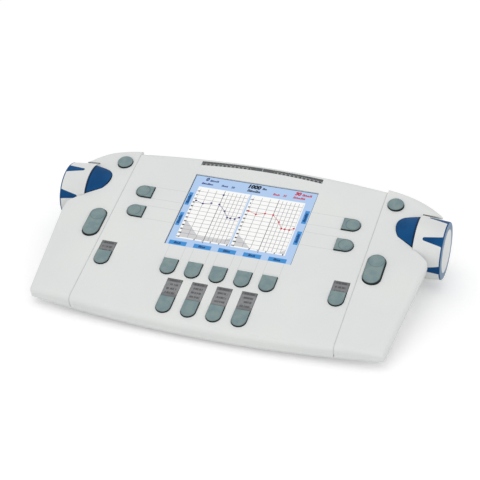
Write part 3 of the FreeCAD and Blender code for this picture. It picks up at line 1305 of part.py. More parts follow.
# The rocker rests tipped to its off side; it is drawn level about its axle.
cap_half, cap_tall = f"({well_half} - 0.3)", f"({well_tall} - 0.8)"
power_block = box("power_block", [f"-{cap_half}", "-power_back", f"-{cap_tall}"],
                  [cap_half, "power_rise", cap_tall])
dish = rod("power_dish_rod", [f"-{cap_half} - 1", "power_rise + power_dish - power_dish_deep", "0"], "x",
           "power_dish", f"2 * ({cap_half} + 1)")
power_axle = rod("power_axle", [f"-({well_half}) - 0.5", "0", "0"], "x", "power_pin",
                 f"2 * ({well_half}) + 1")
power_rocker = fuse("power_rocker_fuse", cut("power_rocker_cut", power_block, dish), power_axle)
power_rocker.Placement = FreeCAD.Placement(
    FreeCAD.Vector(), FreeCAD.Rotation(FreeCAD.Vector(1, 0, 0), -value("power_angle"))
)
bind(power_rocker, Placement__Base__x="power_x", Placement__Base__y=power_pivot, Placement__Base__z=row_z)
part(power_rocker, "power_rocker")


# ---------------------------------------------------------------- fasteners
case_form = ["screw_rad", "head_rad", "head_high"]
case_screws = [hexed_screw(f"case_screw_{i}", [x, y, flange_low], "z", *case_form, "tray_thick + 5")
               for i, (x, y) in enumerate(screw_spots)]
case_screws += [hexed_screw(f"board_screw_{i}", [x, y, board_low], "z", *case_form, "board_thick + 5")
                for i, (x, y) in enumerate(BOARD_POSTS)]
part(on_panel(group("case_screw_group", case_screws)), "case_screws")
plate_form = ["plate_screw_rad", "plate_screw_rad * 1.9", "1.3"]
panel_screws = [hexed_screw(f"plate_screw_{i}", [x, "tub_rear", z], "y", *plate_form,
                            "wall + socket_thick + 1", -1) for i, (x, z) in enumerate(plate_screws)]
part(group("panel_screw_group", panel_screws), "panel_screws")


# ---------------------------------------------------------------- check and write
doc.recompute()
for item in doc.Objects:
    if "Invalid" in item.State or "Error" in item.State:
        raise RuntimeError(f"{item.Name} failed: {item.State}")
for item in parts:
    if item.Shape.isNull() or not item.Shape.isValid() or not item.Shape.Solids:
        raise RuntimeError(f"{item.Label} has no valid solid")
os.makedirs("parts", exist_ok=True)
for item in parts:
    item.Shape.exportStep(f"parts/{item.Label}.step")
print(len(parts), "sub-parts written")
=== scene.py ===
import math

import bpy
from mathutils import Matrix, Vector


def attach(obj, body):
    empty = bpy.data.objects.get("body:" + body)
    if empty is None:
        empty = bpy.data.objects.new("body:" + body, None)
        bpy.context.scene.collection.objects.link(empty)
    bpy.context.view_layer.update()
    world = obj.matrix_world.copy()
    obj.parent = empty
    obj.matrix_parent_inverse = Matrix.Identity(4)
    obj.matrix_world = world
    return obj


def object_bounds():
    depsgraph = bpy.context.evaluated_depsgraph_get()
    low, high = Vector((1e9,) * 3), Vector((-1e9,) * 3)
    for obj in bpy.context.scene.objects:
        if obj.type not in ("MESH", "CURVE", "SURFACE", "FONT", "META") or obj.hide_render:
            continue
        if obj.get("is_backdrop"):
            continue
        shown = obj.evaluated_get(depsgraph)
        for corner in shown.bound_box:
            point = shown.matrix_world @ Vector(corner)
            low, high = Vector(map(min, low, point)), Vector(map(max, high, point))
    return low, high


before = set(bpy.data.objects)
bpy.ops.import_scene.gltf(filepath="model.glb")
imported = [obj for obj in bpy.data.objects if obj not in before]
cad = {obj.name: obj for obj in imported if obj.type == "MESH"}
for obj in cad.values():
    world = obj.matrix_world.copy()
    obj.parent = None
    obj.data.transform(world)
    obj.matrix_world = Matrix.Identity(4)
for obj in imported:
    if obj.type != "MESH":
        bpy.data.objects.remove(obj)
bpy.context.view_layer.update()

# ------------------------------------------------------------------ bottom shell
# The lower case of the console: one moulding of off-white ABS with a fine spark grain,
# which carries the covers on its flange and stands on the table on four feet.
TILT = math.radians(15)
SCREEN_CENTRE = (0, 0.02775, 0.0498)


class Shade:
    """One socket of a finish, ready for arithmetic."""

    def __init__(self, nodes, socket):
        self.nodes = nodes
        self.socket = socket

    def out(self, name):
        """Another output of the node behind this one."""
        return Shade(self.nodes, self.socket.node.outputs[name])

    def maths(self, operation, *inputs):
        return self.nodes.node("ShaderNodeMath", {"operation": operation}, inputs)

    def __add__(self, other):
        return self.maths("ADD", self, other)

    def __sub__(self, other):
        return self.maths("SUBTRACT", self, other)

    def __rsub__(self, other):
        return self.maths("SUBTRACT", other, self)

    def __neg__(self):
        return self.maths("MULTIPLY", self, -1)

    def __mul__(self, other):
        return self.maths("MULTIPLY", self, other)

    def __floordiv__(self, other):
        return self.maths("FLOOR", self.maths("DIVIDE", self, other))

    def __pow__(self, other):
        return self.maths("POWER", self, other)

    def __mod__(self, other):
        return self.maths("FLOORED_MODULO", self, other)

    def __abs__(self):
        return self.maths("ABSOLUTE", self)

    def __or__(self, other):
        return self.maths("MAXIMUM", self, other)

    __radd__ = __add__
    __rmul__ = __mul__

    def rise(self, low, high):
        """A soft step from 0 at low to 1 at high."""
        return self.nodes.node("ShaderNodeMapRange", {"interpolation_type": "SMOOTHSTEP"},
                               {"Value": self, "From Min": low, "From Max": high})

    def within(self, low, high, soft):
        """1 between low and high, with soft edges."""
        return self.rise(low - soft, low + soft) * (1 - self.rise(high - soft, high + soft))

    def near(self, level, half, soft):
        """1 along a line at a level, with soft edges."""
        return 1 - abs(self - level).rise(half - soft, half + soft)


class Nodes:
    """A node tree that is filled by expressions."""

    def __init__(self, tree):
        self.tree = tree

    def put(self, socket, given):
        """Link a socket to a Shade, or set it to a plain value."""
        if isinstance(given, Shade):
            self.tree.links.new(given.socket, socket)
        else:
            socket.default_value = given

    def node(self, kind, settings, inputs, output=0):
        """Add a node: its type, its settings, then values or links for its sockets."""
        made = self.tree.nodes.new(kind)
        for name, setting in settings.items():
            setattr(made, name, setting)
        pairs = inputs.items() if isinstance(inputs, dict) else enumerate(inputs)
        for key, given in pairs:
            self.put(made.inputs[key], given)
        return Shade(self, made.outputs[output])


class Finish(Nodes):
    """The look of one kind of surface; constants are set on the shader itself."""

    def __init__(self, name, **constants):
        self.material = bpy.data.materials.new(name)
        self.material.use_nodes = True
        super().__init__(self.material.node_tree)
        self.shader = self.tree.nodes["Principled BSDF"]
        self.wear(**constants)

    def wear(self, **shades):
        """Set or link sockets of the shader, named with _ for a space."""
        for socket, shade in shades.items():
            self.put(self.shader.inputs[socket.replace("_", " ")], shade)

    def place(self, origin=SCREEN_CENTRE, lean=TILT):
        """Millimetres in panel axes, or in axes that lean about another origin."""
        spot = self.node("ShaderNodeTexCoord", {}, (), "Object")
        return self.node("ShaderNodeMapping", {"vector_type": "TEXTURE"},
                         {"Vector": spot, "Location": origin, "Rotation": (lean, 0, 0),
                          "Scale": (0.001, 0.001, 0.001)})

    def axes(self, place):
        """The three coordinates of a place."""
        split = self.node("ShaderNodeSeparateXYZ", {}, (place,), "X")
        return split, split.out("Y"), split.out("Z")

    def noise(self, place, scale, detail=2):
        """Cloudy noise from 0 to 1, scale in clouds a millimetre."""
        return self.node("ShaderNodeTexNoise", {},
                         {"Vector": place, "Scale": scale, "Detail": detail})

    def mix(self, mask, low, high):
        """Colour low where the mask is 0 and high where it is 1."""
        return self.node("ShaderNodeMix", {"data_type": "RGBA"}, {0: mask, 6: low, 7: high}, 2)

    def bump(self, height, depth, under=None):
        """A relief: height 1 stands depth metres over height 0."""
        inputs = {"Height": height, "Distance": depth}
        if under is not None:
            inputs["Normal"] = under
        return self.node("ShaderNodeBump", {}, inputs)


def rgb(red, green, blue):
    """A written 0-255 colour as the shader takes it."""
    def linear(level):
        level /= 255
        return level / 12.92 if level <= 0.04045 else ((level + 0.055) / 1.055) ** 2.4
    return (linear(red), linear(green), linear(blue), 1)


def dress(finish, *names):
    """Give CAD nodes a finish."""
    for name in names:
        cad[name].data.materials.clear()
        cad[name].data.materials.append(finish.material)


HOUSING = rgb(225, 227, 225)
HOUSING_SHADE = rgb(221, 224, 223)
HOUSING_SPECK = rgb(197, 200, 199)
HOUSING_LINE = rgb(182, 186, 185)


def moulded(name, lines_at=None):
    """Grained ABS: faint clouding of the tone, uneven gloss and a spark grain. lines_at
    gives a mask of fine lines that are cut in the mould."""
    plastic = Finish(name, IOR=1.5)
    place = plastic.place()
    tint = plastic.mix(plastic.noise(place, 0.012, 3).rise(0.35, 0.65), HOUSING, HOUSING_SHADE)
    specks = plastic.noise(place, 1.1, 1).rise(0.60, 0.74)
    tint = plastic.mix(specks * 0.14, tint, HOUSING_SPECK)
    grain = plastic.bump(plastic.noise(place, 2.6, 2), 0.000004)
    if lines_at:
        lines = lines_at(plastic, place)
        tint = plastic.mix(lines * 0.42, tint, HOUSING_LINE)
        grain = plastic.bump(-lines, 0.00004, grain)
    plastic.wear(
        Base_Color=tint,
        Roughness=0.42 + 0.10 * plastic.noise(place, 0.06, 3),
        Normal=grain,
    )
    return plastic


dress(moulded("shell_plastic"), "bottom_shell")

# ------------------------------------------------------------------ rubber feet
# Four moulded feet of black neoprene, hollow underneath so that they grip; each is glued
# into a shallow seat in the floor of the case.
neoprene = Finish("foot_neoprene", IOR=1.45)
place = neoprene.place()
neoprene.wear(
    Base_Color=neoprene.mix(neoprene.noise(place, 0.5, 4).rise(0.45, 0.7),
                            rgb(38, 38, 40), rgb(66, 66, 66)),
    Roughness=0.75 + 0.15 * neoprene.noise(place, 0.8),
    Normal=neoprene.bump(neoprene.noise(place, 3.0, 3), 0.00002),
)
dress(neoprene, "rubber_feet")

# ------------------------------------------------------------------ circuit boards
# Main board, connector board and key board: glass-epoxy with green solder mask over
# copper tracks, screwed to pillars and posts inside the case.
TRACK_PITCH = 2.54

board = Finish("solder_mask", IOR=1.5)
place = board.place()
x = board.axes(place)[0]
tracks = ((x + 3 * board.noise(place, 0.05)) % TRACK_PITCH).within(0.5, 1.1, 0.12)
tracks = tracks * board.noise(place, 0.04, 1).rise(0.45, 0.5)
pads = 1 - board.node("ShaderNodeTexVoronoi", {"feature": "F1"},
                      {"Vector": place, "Scale": 0.3}, "Distance").rise(0.18, 0.22)
green = board.mix(tracks, rgb(14, 82, 48), rgb(28, 112, 66))
board.wear(
    Base_Color=board.mix(pads, green, rgb(196, 188, 150)),
    Roughness=0.35 + 0.2 * board.noise(place, 0.7),
    Metallic=pads * 0.8,
    Normal=board.bump(tracks | pads, 0.00004),
)
dress(board, "main_board", "connector_board", "key_board")

# ------------------------------------------------------------------ inner parts
# Key switches, backlight tray, monitor speaker and encoders: small dark nylon mouldings
# on the boards and under the covers.
nylon = Finish("black_nylon", IOR=1.5)
place = nylon.place()
nylon.wear(
    Base_Color=nylon.mix(nylon.noise(place, 0.3, 3).rise(0.4, 0.7),
                         rgb(30, 30, 32), rgb(48, 48, 50)),
    Roughness=0.5 + 0.15 * nylon.noise(place, 0.9),
    Normal=nylon.bump(nylon.noise(place, 2.2, 2), 0.00001),
)
dress(nylon, "key_switches", "left_dial_encoder", "right_dial_encoder", "lcd_backlight",
      "monitor_speaker")

# ------------------------------------------------------------------ rear sockets
# A powder-coated steel plate with six 6.3 mm jacks, three 3.5 mm jacks, a USB socket, a
# low-voltage inlet and a power switch, screwed to the shell from the rear.
coat = Finish("powder_coat", IOR=1.5)
place = coat.place()
coat.wear(
    Base_Color=coat.mix(coat.noise(place, 0.9, 3).rise(0.4, 0.65),
                        rgb(198, 201, 202), rgb(188, 191, 193)),
    Roughness=0.45 + 0.2 * coat.noise(place, 1.2),
    Normal=coat.bump(coat.noise(place, 1.6, 3), 0.00003),
)
dress(coat, "socket_panel")

gloss_black = Finish("jack_black", IOR=1.5)
place = gloss_black.place()
gloss_black.wear(
    Base_Color=gloss_black.mix(gloss_black.noise(place, 0.6, 3).rise(0.4, 0.7),
                               rgb(24, 24, 27), rgb(44, 44, 48)),
    Roughness=0.25 + 0.2 * gloss_black.noise(place, 0.5),
    Normal=gloss_black.bump(gloss_black.noise(place, 1.8), 0.00001),
)
dress(gloss_black, "large_jacks", "small_jacks", "power_inlet", "power_switch_body",
      "power_rocker")

zinc = Finish("zinc_plate", Metallic=1.0)
place = zinc.place()
drawn_out = zinc.node("ShaderNodeMapping", {}, {"Vector": place, "Scale": (0.1, 1.6, 1.6)})
brushed = zinc.noise(drawn_out, 2.0, 4)
zinc.wear(
    Base_Color=zinc.mix(zinc.noise(place, 0.3, 3).rise(0.35, 0.7),
                        rgb(206, 208, 210), rgb(170, 172, 175)),
    Roughness=0.26 + 0.22 * brushed,
    Normal=zinc.bump(brushed, 0.00001),
)
dress(zinc, "usb_socket", "case_screws", "panel_screws", "left_dial_shaft", "right_dial_shaft")

# ------------------------------------------------------------------ ring nuts
# Turned and plated nuts with a slotted rim, one on the bush of each jack; they clamp the
# jacks to the plate.
MILLIMETRES = Matrix.Scale(0.001, 4)
PANEL = Matrix.Translation(SCREEN_CENTRE) @ Matrix.Rotation(TILT, 4, "X") @ MILLIMETRES
SOCKET_ROW = Matrix.Translation((0, 78.5, 25)) @ Matrix.Rotation(math.pi / 2, 4, "X")
NUT_SIDES = 40
NUT_DEEP = 1.8
NUT_RIM = 0.3
SLOT_EVERY = 5
JACK_FIRST, JACK_PITCH = -92, 22


def set_down(things, name, finish, matrix=PANEL):
    """Join things drawn in millimetres, put their points in place and fix them to the console."""
    bpy.ops.object.select_all(action="DESELECT")
    for thing in things:
        thing.select_set(True)
    bpy.context.view_layer.objects.active = things[-1]
    bpy.ops.object.convert(target="MESH")
    if len(things) > 1:
        bpy.ops.object.join()
    piece = bpy.context.view_layer.objects.active
    bpy.ops.object.transform_apply(location=True, rotation=True, scale=True)
    piece.data.transform(matrix)
    piece.name = piece.data.name = name
    piece.data.materials.clear()
    piece.data.materials.append(finish.material)
    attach(piece, "console")


def pick(thing, test):
    """In edit mode, select the faces whose centre and normal pass a test."""
    bpy.ops.mesh.select_all(action="DESELECT")
    bpy.ops.object.mode_set(mode="OBJECT")
    for face in thing.data.polygons:
        face.select = test(face.center, face.normal)
    bpy.ops.object.mode_set(mode="EDIT")


def copies(thing, spots):
    """A copy with its own mesh at each spot, in place of the thing itself."""
    twins = []
    for spot in spots:
        twin = thing.copy()
        twin.data = thing.data.copy()
        twin.location = spot
        bpy.context.scene.collection.objects.link(twin)
        twins.append(twin)
    bpy.data.objects.remove(thing)
    return twins


def ring_nuts(bore, outer, spots):
    """A slotted ring nut at each place along the socket row."""
    def on_slot(centre):
        facet = math.degrees(math.atan2(centre.y, centre.x)) / (360 / NUT_SIDES) - 0.5
        return centre.xy.length > outer - NUT_RIM and round(facet) % SLOT_EVERY == 0

    bpy.ops.object.select_all(action="DESELECT")
    bpy.ops.mesh.primitive_cylinder_add(vertices=NUT_SIDES, radius=outer, depth=NUT_DEEP)
    nut = bpy.context.active_object
    bpy.ops.object.mode_set(mode="EDIT")
    bpy.ops.mesh.select_mode(type="FACE")
    pick(nut, lambda centre, normal: abs(normal.z) > 0.9)
    bpy.ops.mesh.inset(thickness=NUT_RIM, depth=0.25)
    bpy.ops.mesh.inset(thickness=outer - bore - NUT_RIM)
    bpy.ops.mesh.bridge_edge_loops()
    pick(nut, lambda centre, normal: abs(normal.z) < 0.1 and on_slot(centre))
    bpy.ops.mesh.inset(thickness=0.12, use_individual=True)
    bpy.ops.mesh.extrude_faces_move(TRANSFORM_OT_shrink_fatten={"value": -0.4})
    bpy.ops.object.mode_set(mode="OBJECT")
    nut.data.transform(SOCKET_ROW)
    return copies(nut, [(spot, 0, 0) for spot in spots])


set_down(ring_nuts(5.05, 6.9, [JACK_FIRST + JACK_PITCH * i for i in range(6)]),
         "large_ring_nuts", zinc, MILLIMETRES)
set_down(ring_nuts(3.05, 4.3, (37, 50, 63)), "small_ring_nuts", zinc, MILLIMETRES)

# ------------------------------------------------------------------ display
# A 5.7 inch colour panel under matt glass, lit by its tray: two charts, soft labels at
# the bottom and the sides, and readouts in the head line.
ROW, ROW_TOP, OCTAVE = 4.73, 24.3, 7.72
CHARTS = ((-51.2, -1.75, -48.6), (-0.2, 49.9, 2.55))
SHEET_LOW, SHEET_HIGH = -34.1, 29.9
SOFT_PITCH = 23
HAIR = 0.12
CELL = 0.36
SKY, SHEET, MIST = rgb(176, 203, 238), rgb(249, 249, 247), rgb(206, 206, 207)
GRID, MID, LABEL = rgb(158, 158, 162), rgb(84, 84, 88), rgb(56, 140, 208)


def every(along, pitch, half):
    """Fine lines at a pitch, one of them at 0."""
    return abs((along + pitch / 2) % pitch - pitch / 2).near(0, half, 0.1)


def under(height, level):
    """1 where a height lies below a level, with a soft edge."""
    return (level - height).rise(-0.2, 0.2)


glass = Finish("lit_glass", Base_Color=rgb(12, 13, 16), IOR=1.5, Specular_IOR_Level=0.2,
               Emission_Strength=1.0)
place = glass.place()
x, y, z = glass.axes(place)
picture = SKY
for left, right, first in CHARTS:
    sheet = x.within(left, right, HAIR) * y.within(SHEET_LOW, SHEET_HIGH, HAIR)
    picture = glass.mix(sheet, picture, SHEET)
    across, down = x - first, y - (ROW_TOP - 13 * ROW)
    grid = x.within(first, first + 6 * OCTAVE, 0.1) * y.within(ROW_TOP - 12 * ROW, 28.0, 0.1)
    wide, fine = every(across, OCTAVE, 0.24), every(across, OCTAVE / 2, 0.24)
    lines = wide | fine * across.rise(3.1 * OCTAVE, 3.2 * OCTAVE) | every(down, ROW, 0.22)
    # The grey corners of a chart show the levels that the console can't reach.
    if first < 0:
        mist = under(y, -12.0 - 1.02 * (across | 0)) | under(y, 3.2 * across.rise(38, 47) - 28.3)
    else:
        mist = under(y, -18.6 - 0.93 * across) | under(y, 5.2 * across.rise(38, 47) - 33.4)
    picture = glass.mix(mist * grid, picture, MIST)
    picture = glass.mix(lines * grid, picture, GRID)
    middle = across.near(3 * OCTAVE, 0.26, 0.1)
    picture = glass.mix(middle * y.within(-36.0, 29.0, 0.1), picture, MID)
labels = 0.0
for i in range(-2, 3):
    box = x.within(SOFT_PITCH * i - 9.1, SOFT_PITCH * i + 7.1, HAIR) * y.within(-42.6, -37.75, HAIR)
    labels = box | labels
for low, high in ((-57.0, -53.3), (52.7, 56.9)):
    for bottom, top in ((5.6, 21.3), (-19.9, -3.9)):
        labels = labels | x.within(low, high, HAIR) * y.within(bottom, top, HAIR)
picture = glass.mix(labels, picture, LABEL)
# The dots of the panel, barely seen, and the frame that its tray leaves unlit, which is given a
# faint blue-grey painted glow.
cells = (x % CELL).within(0.04, 0.32, 0.03) * (y % CELL).within(0.04, 0.32, 0.03)
picture = glass.mix((1 - cells) * 0.07, picture, rgb(60, 70, 90))
lit = x.within(-57.7, 57.7, 0.1) * y.within(-44, 43.1, 0.1) * z.rise(-1.4, -1.2)
glass.wear(
    Emission_Color=glass.mix(lit, rgb(40, 46, 56), picture),
    Roughness=0.38 + 0.08 * glass.noise(place, 0.4),
    Normal=glass.bump(glass.noise(place, 3.0, 1), 0.000003),
)
dress(glass, "lcd_panel")


def ink(name, tone, faded):
    """A tone of the lit picture, faintly broken up by the cells of the panel."""
    printed = Finish(name, Base_Color=(0.01, 0.01, 0.01, 1), Emission_Strength=1.0,
                     Specular_IOR_Level=0.1)
    spot = printed.place()
    patchy = printed.noise(spot, 2.0, 1).rise(0.3, 0.7)
    printed.wear(Emission_Color=printed.mix(patchy, tone, faded),
                 Roughness=0.4 + 0.1 * printed.noise(spot, 0.5))
    return printed


BLACK = ink("ink_black", rgb(0, 0, 2), rgb(8, 8, 12))
NAVY = ink("ink_navy", rgb(20, 32, 104), rgb(34, 46, 118))
VIOLET = ink("ink_violet", rgb(30, 28, 110), rgb(48, 44, 126))
RED = ink("ink_red", rgb(186, 8, 22), rgb(200, 24, 36))
DEEP = ink("ink_deep", rgb(8, 44, 96), rgb(14, 56, 112))
GLASS_TOP = -1.1
CAPITAL = 1.38


def figure(words, px, py, tall, heavy=0.06, shear=0.0):
    """Numbers drawn on the glass, centred at a place."""
    bpy.ops.object.text_add(location=(px, py, GLASS_TOP + 0.02))
    text = bpy.context.active_object
    text.data.body = words
    text.data.size = tall * CAPITAL
    text.data.extrude = 0.015
    text.data.offset = heavy * tall
    text.data.shear = shear
    text.data.align_x = "CENTER"
    text.data.align_y = "CENTER"
    text.data.resolution_u = 3
    return text


def stroke(wide, *runs):
    """Thin flat lines on the glass, each through its own points."""
    curve = bpy.data.curves.new("stroke", "CURVE")
    curve.dimensions = "3D"
    curve.bevel_depth = wide / 2
    curve.bevel_resolution = 1
    curve.use_fill_caps = True
    for points in runs:
        run = curve.splines.new("POLY")
        run.points.add(len(points) - 1)
        for spot, (px, py) in zip(run.points, points):
            spot.co = (px, py, 0, 1)
    line = bpy.data.objects.new("stroke", curve)
    line.scale = (1, 1, 0.03 / wide)
    line.location = (0, 0, GLASS_TOP + 0.015)
    bpy.context.scene.collection.objects.link(line)
    return line


def scribble(px, py, long, tall, turn=0.0):
    """A word too small to read: a row of slanting arches of uneven height."""
    letters = round(long / (0.8 * tall))
    step = long / letters
    runs = []
    for i in range(letters):
        left, low = i * step - long / 2, -0.42 * tall
        high = tall * (0.42 if i % 3 == 0 else 0.14 + 0.1 * math.sin(2.3 * i + px))
        lean = 0.2 * (high - low)
        runs.append([(left, low), (left + lean, high),
                     (left + 0.5 * step + lean, high * 0.9), (left + 0.5 * step, low)])
    word = stroke(0.36 * tall, *runs)
    word.rotation_euler.z = turn
    word.location = (px, py, GLASS_TOP + 0.015)
    return word


def marks(size, spots):
    """Small round chart marks with a softened edge."""
    bpy.ops.object.select_all(action="DESELECT")
    bpy.ops.mesh.primitive_cylinder_add(vertices=12, radius=size, depth=0.04)
    bpy.ops.object.mode_set(mode="EDIT")
    bpy.ops.mesh.bevel(offset=0.006, segments=1)
    bpy.ops.object.mode_set(mode="OBJECT")
    return copies(bpy.context.active_object, [(px, py, GLASS_TOP + 0.03) for px, py in spots])


LEFT_TRACE = [(-48.0, 12.4), (-40.7, 10.0), (-33.2, 12.1), (-25.6, 12.2), (-18.3, 5.2),
              (-13.6, -1.9), (-10.6, -2.0), (-6.4, -2.0), (-3.0, 0.5)]
LONE_MARK = (-25.5, 24.1)
RIGHT_TRACE = [(2.7, 10.1), (10.4, 7.6), (18.2, 10.1), (25.8, 10.0), (33.2, 2.9),
               (37.6, -4.2), (40.7, -4.2), (44.9, -4.3), (48.4, -1.9)]
set_down(marks(1.05, LEFT_TRACE + [LONE_MARK]) + [stroke(0.4, LEFT_TRACE[:3], LEFT_TRACE[3:])],
         "left_trace", VIOLET)
set_down(marks(1.0, RIGHT_TRACE) + [stroke(0.45, RIGHT_TRACE)],
         "right_trace", RED)
scale_numbers = []
for *_, first in CHARTS:
    for i in range(13):
        level = str(10 * (i - 1))
        scale_numbers.append(figure(level, first - 1.1, ROW_TOP - i * ROW, 1.5, 0.09))
    for i, number in enumerate((".5", "1", "2", "4", "8")):
        scale_numbers.append(figure(number, first + (i + 2) * OCTAVE - 1.0, -33.4, 1.5, 0.09))
set_down(scale_numbers, "scale_numbers", BLACK)
set_down([figure("1000", -1.3, 39.4, 4.4, 0.09, 0.2), scribble(9.3, 38.9, 4.2, 2.6),
          scribble(0.3, 34.3, 12.2, 3.0)], "readout_tone", BLACK)
set_down([figure("0", -46.3, 39.8, 3.9, 0.07, 0.2), scribble(-38.9, 38.9, 8.4, 2.4),
          scribble(-44.2, 34.4, 11.0, 2.3), scribble(-27.6, 34.9, 6.2, 2.3),
          figure("20", -20.2, 34.9, 2.3, 0.05, 0.2)], "readout_left", NAVY)
set_down([figure("30", 40.1, 39.5, 3.9, 0.08, 0.2), scribble(49.2, 38.9, 9.0, 2.7),
          scribble(43.0, 34.6, 11.3, 2.6), scribble(21.6, 34.6, 6.2, 2.5),
          figure("35", 29.0, 34.6, 2.4, 0.05, 0.2)], "readout_right", RED)
set_down([scribble(SOFT_PITCH * i - 1.0, -40.1, 6.4, 2.6) for i in range(-2, 3)]
         + [scribble(px, py, 10.5, 2.6, math.pi / 2)
            for px in (-55.2, 54.8) for py in (13.4, -11.9)],
         "soft_captions", DEEP)

# ------------------------------------------------------------------ centre cover
# The top cover between the two grooves, moulded in the case's ABS, with the front lip
# rolled over and shallow lines in the mould from each key to its label on the screen.
KEY_PITCH = 22.55
LINE_HALF = 0.23


def guide_lines(finish, place):
    """The lines beside the screen, and those that run from the soft keys up to it."""
    x, y, z = finish.axes(place)
    sides = 0.0
    for level in (19.6, 5.4, -3.9, -19.3):
        sides = y.near(level, LINE_HALF, 0.11) | sides
    fans = x.near(-52.5, LINE_HALF, 0.11)
    for i in range(-2, 3):
        for side in (-7.4, 7.4):
            fans = fans | x.near(KEY_PITCH * i + side, LINE_HALF, 0.11)
    fans = fans * y.within(-59.6, -44.4, 0.2)
    return (sides * abs(x).within(58.8, 88.9, 0.2) | fans) * z.rise(-0.5, -0.2)


dress(moulded("cover_plastic", guide_lines), "centre_cover")

# ------------------------------------------------------------------ seams
# Two strips of soft vinyl pressed into the grooves beside the centre cover; they follow
# its front lip and keep dust out of the case.
GROOVE_X = 118.0
SEAM_SIZE, SEAM_Y, SEAM_Z = (0.76, 181.8, 11.6), -31.4, -6.1
SEAM_ROUND = 4.1

vinyl = Finish("seam_vinyl", IOR=1.45)
place = vinyl.place()
# The strips' grey, darker than the case, is painted shade for the grooves.
vinyl.wear(
    Base_Color=vinyl.mix(vinyl.noise(place, 0.3, 3).rise(0.35, 0.7),
                         rgb(206, 209, 208), rgb(198, 201, 200)),
    Roughness=0.55 + 0.15 * vinyl.noise(place, 0.6),
    Normal=vinyl.bump(vinyl.noise(place, 2.0, 2), 0.00001),
)
bpy.ops.object.select_all(action="DESELECT")
bpy.ops.mesh.primitive_cube_add(size=1, location=(0, SEAM_Y, SEAM_Z), scale=SEAM_SIZE)
bpy.ops.object.transform_apply(location=True, rotation=True, scale=True)
strip = bpy.context.active_object
for edge in strip.data.edges:
    ends = [strip.data.vertices[i].co for i in edge.vertices]
    edge.select = all(end.z > -1 and end.y < -100 for end in ends)
bpy.ops.object.mode_set(mode="EDIT")
bpy.ops.mesh.select_mode(type="EDGE")
bpy.ops.mesh.bevel(offset=SEAM_ROUND, segments=8)
bpy.ops.object.mode_set(mode="OBJECT")
left_strip, right_strip = copies(strip, [(-GROOVE_X, 0, 0), (GROOVE_X, 0, 0)])
set_down([left_strip], "left_seam", vinyl)
set_down([right_strip], "right_seam", vinyl)

# ------------------------------------------------------------------ speaker grille
# A dark grey moulding let into the cover behind the screen, ribbed on both sides of a
# plain middle, over a band of acoustic cloth.
GRILLE_HALF, GRILLE_REAR, GRILLE_BOW = 58.0, 58.9, 480
RIB_END, RIB_PITCH, SLOT_HALF = 2.4, 3.9, 1.15

ribs = Finish("grille_ribs", IOR=1.5)
place = ribs.place()
x, y, z = ribs.axes(place)
along = (GRILLE_HALF - RIB_END + RIB_PITCH / 2 - abs(x)) % RIB_PITCH
slot = along.within(RIB_PITCH / 2 - SLOT_HALF, RIB_PITCH / 2 + SLOT_HALF, 0.12)
bow = y - (GRILLE_REAR - GRILLE_BOW + (GRILLE_BOW ** 2 - x * x) ** 0.5)
rib = (1 - slot) * abs(x).rise(11.0, 11.4) * bow.within(0.4, 2.5, 0.3)
plain = ribs.mix(ribs.noise(place, 0.4, 3).rise(0.4, 0.7), rgb(74, 78, 80), rgb(88, 91, 93))
plain = ribs.mix(x.near(0, 0.3, 0.15), plain, rgb(168, 171, 171))
# Below the surface the slot walls are painted pale, as painted light against the shade in the
# slots.
plain = ribs.mix(z.rise(-0.9, -0.4), rgb(196, 199, 200), plain)
ribs.wear(
    Base_Color=ribs.mix(rib, plain, rgb(150, 153, 153)),
    Roughness=0.5 + 0.15 * ribs.noise(place, 0.8),
    Normal=ribs.bump(ribs.noise(place, 2.4, 2), 0.00001),
)
dress(ribs, "speaker_grille")

THREAD = 0.4
BAND_Y, BAND_Z, BAND_HALF = 61.4, -3.62, 57

cloth = Finish("acoustic_cloth", IOR=1.4, Specular_IOR_Level=0.2)
place = cloth.place()
x, y = cloth.axes(place)[:2]
weave = (x % THREAD).within(0.06, 0.34, 0.05) * (y % THREAD).within(0.06, 0.34, 0.05)
# The cloth is coloured pale so that it reads grey in the shade of the slots: painted light.
cloth.wear(
    Base_Color=cloth.mix(weave, rgb(206, 208, 209), rgb(238, 240, 240)),
    Roughness=0.85 + 0.1 * cloth.noise(place, 0.6),
    Normal=cloth.bump(weave, 0.00006),
)
bpy.ops.object.select_all(action="DESELECT")
bpy.ops.mesh.primitive_cube_add(size=1, location=(0, BAND_Y, BAND_Z), scale=(0.5, 5.2, 0.3))
bpy.ops.object.transform_apply(location=True, rotation=True, scale=True)
band = bpy.context.active_object
turn = math.asin(BAND_HALF / GRILLE_BOW)
bow_centre = Matrix.Translation((0, GRILLE_REAR - GRILLE_BOW, 0))
band.data.transform(bow_centre @ Matrix.Rotation(turn, 4, "Z") @ bow_centre.inverted())
bpy.ops.object.mode_set(mode="EDIT")
bpy.ops.mesh.select_mode(type="FACE")
pick(band, lambda centre, normal: normal.x > 0.9)
bpy.ops.mesh.spin(steps=28, angle=-2 * turn, center=bow_centre.translation, axis=(0, 0, 1))
bpy.ops.mesh.select_all(action="SELECT")
bpy.ops.mesh.normals_make_consistent(inside=False)
bpy.ops.object.mode_set(mode="OBJECT")
set_down([band], "grille_cloth", cloth)

# ------------------------------------------------------------------ wing covers
# Two crowned shells of the case's ABS outside the grooves, cut out round the dials and
# screwed to the case from below.
dress(moulded("wing_plastic"), "left_wing_cover", "right_wing_cover")

# ------------------------------------------------------------------ keys
# One-piece silicone keys, grey-green through and through, with a dished round thumb
# pad on each; they press straight in and are held by a flange under the skin.
KEY = rgb(130, 149, 149)
KEY_CLOUD = rgb(119, 140, 144)
# Painted shade for the creases and the walls of the keys.
KEY_PAINTED_SHADE = rgb(28, 38, 38)
PAD = 5.9


